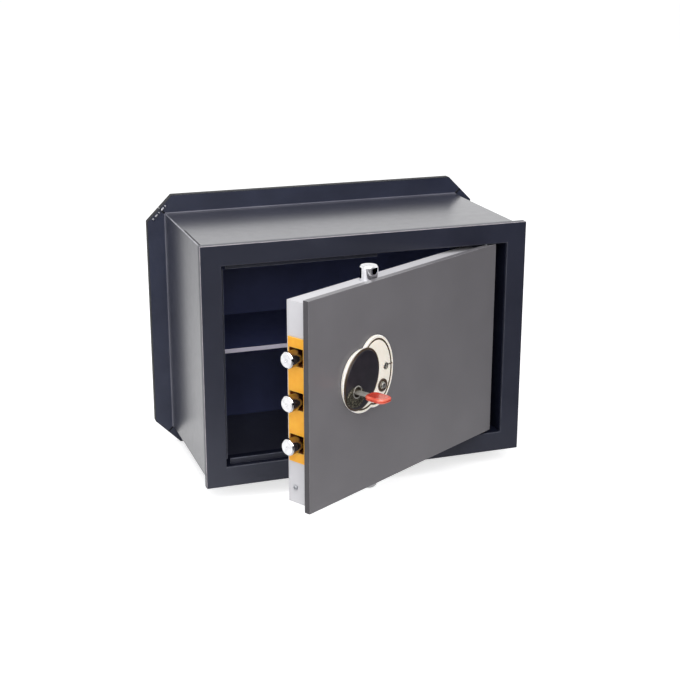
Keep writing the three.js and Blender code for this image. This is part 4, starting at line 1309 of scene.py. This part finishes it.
@dataclass
class Studio:
    """Camera, lamps, white surroundings and a pale floor."""

    place_mm: Triple = (-580.85, -1811.29, 549.75)
    yaw_deg: float = 18.96
    pitch_deg: float = 17.54
    lens_mm: float = 71.98
    sensor_mm: float = 36.0
    clip_end: float = 50.0
    fill: Colour = (0.42, 0.42, 0.43, 1.0)
    dim: Colour = (0.1, 0.1, 0.12, 1.0)
    dim_side: Triple = (0.5, -0.87, 0.0)
    dim_span: Range = (0.4, 0.8)
    floor_z_mm: float = -180.5
    floor_half: float = 12.0
    floor_colour: Colour = (0.8, 0.8, 0.8, 1.0)
    floor_glow: float = 0.68
    floor_dim_span: Range = (0.15, 0.55)
    floor_mirror: Range = (0.15, -0.85)

    def camera(self) -> None:
        """Places the camera where the photograph was taken from."""
        data = bpy.data.cameras.new("camera")
        data.lens = self.lens_mm
        data.sensor_width = self.sensor_mm
        data.clip_end = self.clip_end
        camera = bpy.data.objects.new("camera", data)
        bpy.context.scene.collection.objects.link(camera)
        camera.location = Vector(self.place_mm) * MM
        yaw, pitch = math.radians(self.yaw_deg), math.radians(self.pitch_deg)
        ahead = Vector((math.sin(yaw) * math.cos(pitch), math.cos(yaw) * math.cos(pitch), -math.sin(pitch)))
        camera.rotation_euler = ahead.to_track_quat("-Z", "Y").to_euler()
        bpy.context.scene.camera = camera

    def mirrored(self, tree: Tree, path: bpy.types.Node) -> Socket:
        """The share of a ray that came by a mirror-like surface or through glass."""
        inputs = {0: path.outputs["Is Glossy Ray"], 1: path.outputs["Is Transmission Ray"]}
        return add_node(tree, "Math", inputs, operation="MAXIMUM").outputs[0]

    def towards_dim(self, tree: Tree, point: Socket, span: Range, result: Range) -> Socket:
        """Measures how far a point or direction lies towards the dim side of the room.

        Args:
            tree: The node tree that gets the nodes.
            point: The point or direction.
            span: Where the room starts to dim and where it is dimmest.
            result: What those two become.

        Returns:
            The value between the two.
        """
        inputs = {0: point, 1: self.dim_side}
        far = add_node(tree, "VectorMath", inputs, operation="DOT_PRODUCT").outputs["Value"]
        return add_node(tree, "MapRange", spread(far, span, result)).outputs[0]

    def world(self) -> None:
        """White for the eye and for reflections, but for the dim room to the right of the photographer."""
        world = bpy.data.worlds.new("studio")
        bpy.context.scene.world = world
        world.use_nodes = True
        tree = world.node_tree
        tree.nodes.clear()
        path = add_node(tree, "LightPath")
        place = add_node(tree, "TexCoord").outputs["Generated"]
        dimmed = {0: self.towards_dim(tree, place, self.dim_span, FULL), 6: WHITE, 7: self.dim}
        room = add_node(tree, "Mix", dimmed, data_type="RGBA").outputs[2]
        lit = {0: self.mirrored(tree, path), 6: self.fill, 7: room}
        colour = add_node(tree, "Mix", lit, data_type="RGBA").outputs[2]
        seen = {0: path.outputs["Is Camera Ray"], 6: colour, 7: WHITE}
        shown = add_node(tree, "Mix", seen, data_type="RGBA").outputs[2]
        light = add_node(tree, "Background", {"Color": shown, "Strength": 1.0})
        add_node(tree, "OutputWorld", {"Surface": light.outputs[0]})

    def lamp(self, name: str, place: Point, target: Point, size: float, power: float) -> None:
        """Adds a soft square lamp.

        Args:
            name: The lamp's name.
            place: Where it hangs, in metres.
            target: The point that it faces.
            size: The length of its side, in metres.
            power: Its power in watts.
        """
        data = bpy.data.lights.new(name, "AREA")
        data.size = size
        data.energy = power
        lamp = bpy.data.objects.new(name, data)
        bpy.context.scene.collection.objects.link(lamp)
        lamp.location = place
        lamp.rotation_euler = (Vector(target) - Vector(place)).to_track_quat("-Z", "Y").to_euler()

    def floor_material(self) -> bpy.types.Material:
        """Makes a pale floor, white but for the shadow, with a mirror image that dims towards the room.

        Returns:
            The floor's material.
        """
        material, tree = blank_material("pale_floor")
        path = add_node(tree, "LightPath")
        place = add_node(tree, "TexCoord").outputs["Object"]
        sweep = self.towards_dim(tree, place, self.floor_dim_span, self.floor_mirror)
        mirror = {0: self.mirrored(tree, path), 1: sweep}
        image = add_node(tree, "Math", mirror, operation="MULTIPLY").outputs[0]
        lift = {0: path.outputs["Is Camera Ray"], 1: self.floor_glow, 2: image}
        strength = add_node(tree, "Math", lift, operation="MULTIPLY_ADD").outputs[0]
        matt = add_node(tree, "BsdfDiffuse", {"Color": self.floor_colour})
        glow = add_node(tree, "Emission", {"Color": WHITE, "Strength": strength})
        both = add_node(tree, "AddShader", {0: matt.outputs[0], 1: glow.outputs[0]})
        add_node(tree, "OutputMaterial", {"Surface": both.outputs[0]})
        return material

    def floor(self) -> None:
        """Lays the floor under the safe."""
        shape = bmesh.new()
        bmesh.ops.create_grid(shape, x_segments=1, y_segments=1, size=self.floor_half)
        moved(shape, Matrix.Translation((0, 0, self.floor_z_mm * MM)))
        mesh = bpy.data.meshes.new("floor")
        shape.to_mesh(mesh)
        shape.free()
        mesh.materials.append(self.floor_material())
        floor = bpy.data.objects.new("floor", mesh)
        bpy.context.scene.collection.objects.link(floor)

    def build(self) -> None:
        """Sets up the whole studio."""
        bpy.context.scene.view_settings.view_transform = "Standard"
        self.camera()
        self.world()
        self.floor()
        self.lamp("lamp_top", (-0.3, -0.5, 1.9), (0.0, -0.15, 0.0), size=1.6, power=23.0)
        self.lamp("lamp_left", (-1.7, -1.3, 0.8), (0.0, -0.2, 0.0), size=1.4, power=7.5)
        self.lamp("lamp_front", (-0.4, -2.1, 1.35), (0.0, -0.15, 0.0), size=1.4, power=24.0)


def main() -> None:
    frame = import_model()
    shop = Workshop(frame["nodes"])
    Studio().build()
    for part in (SafeShell(shop), DoorLeaf(shop), BoltWork(shop), LockFace(shop), Key(shop)):
        LOG.info("building %s", type(part).__name__)
        part.build()
    LOG.info("%d pieces made", len(shop.made))


if __name__ == "__main__":
    logging.basicConfig(level=logging.INFO, format="%(name)s %(message)s")
    main()
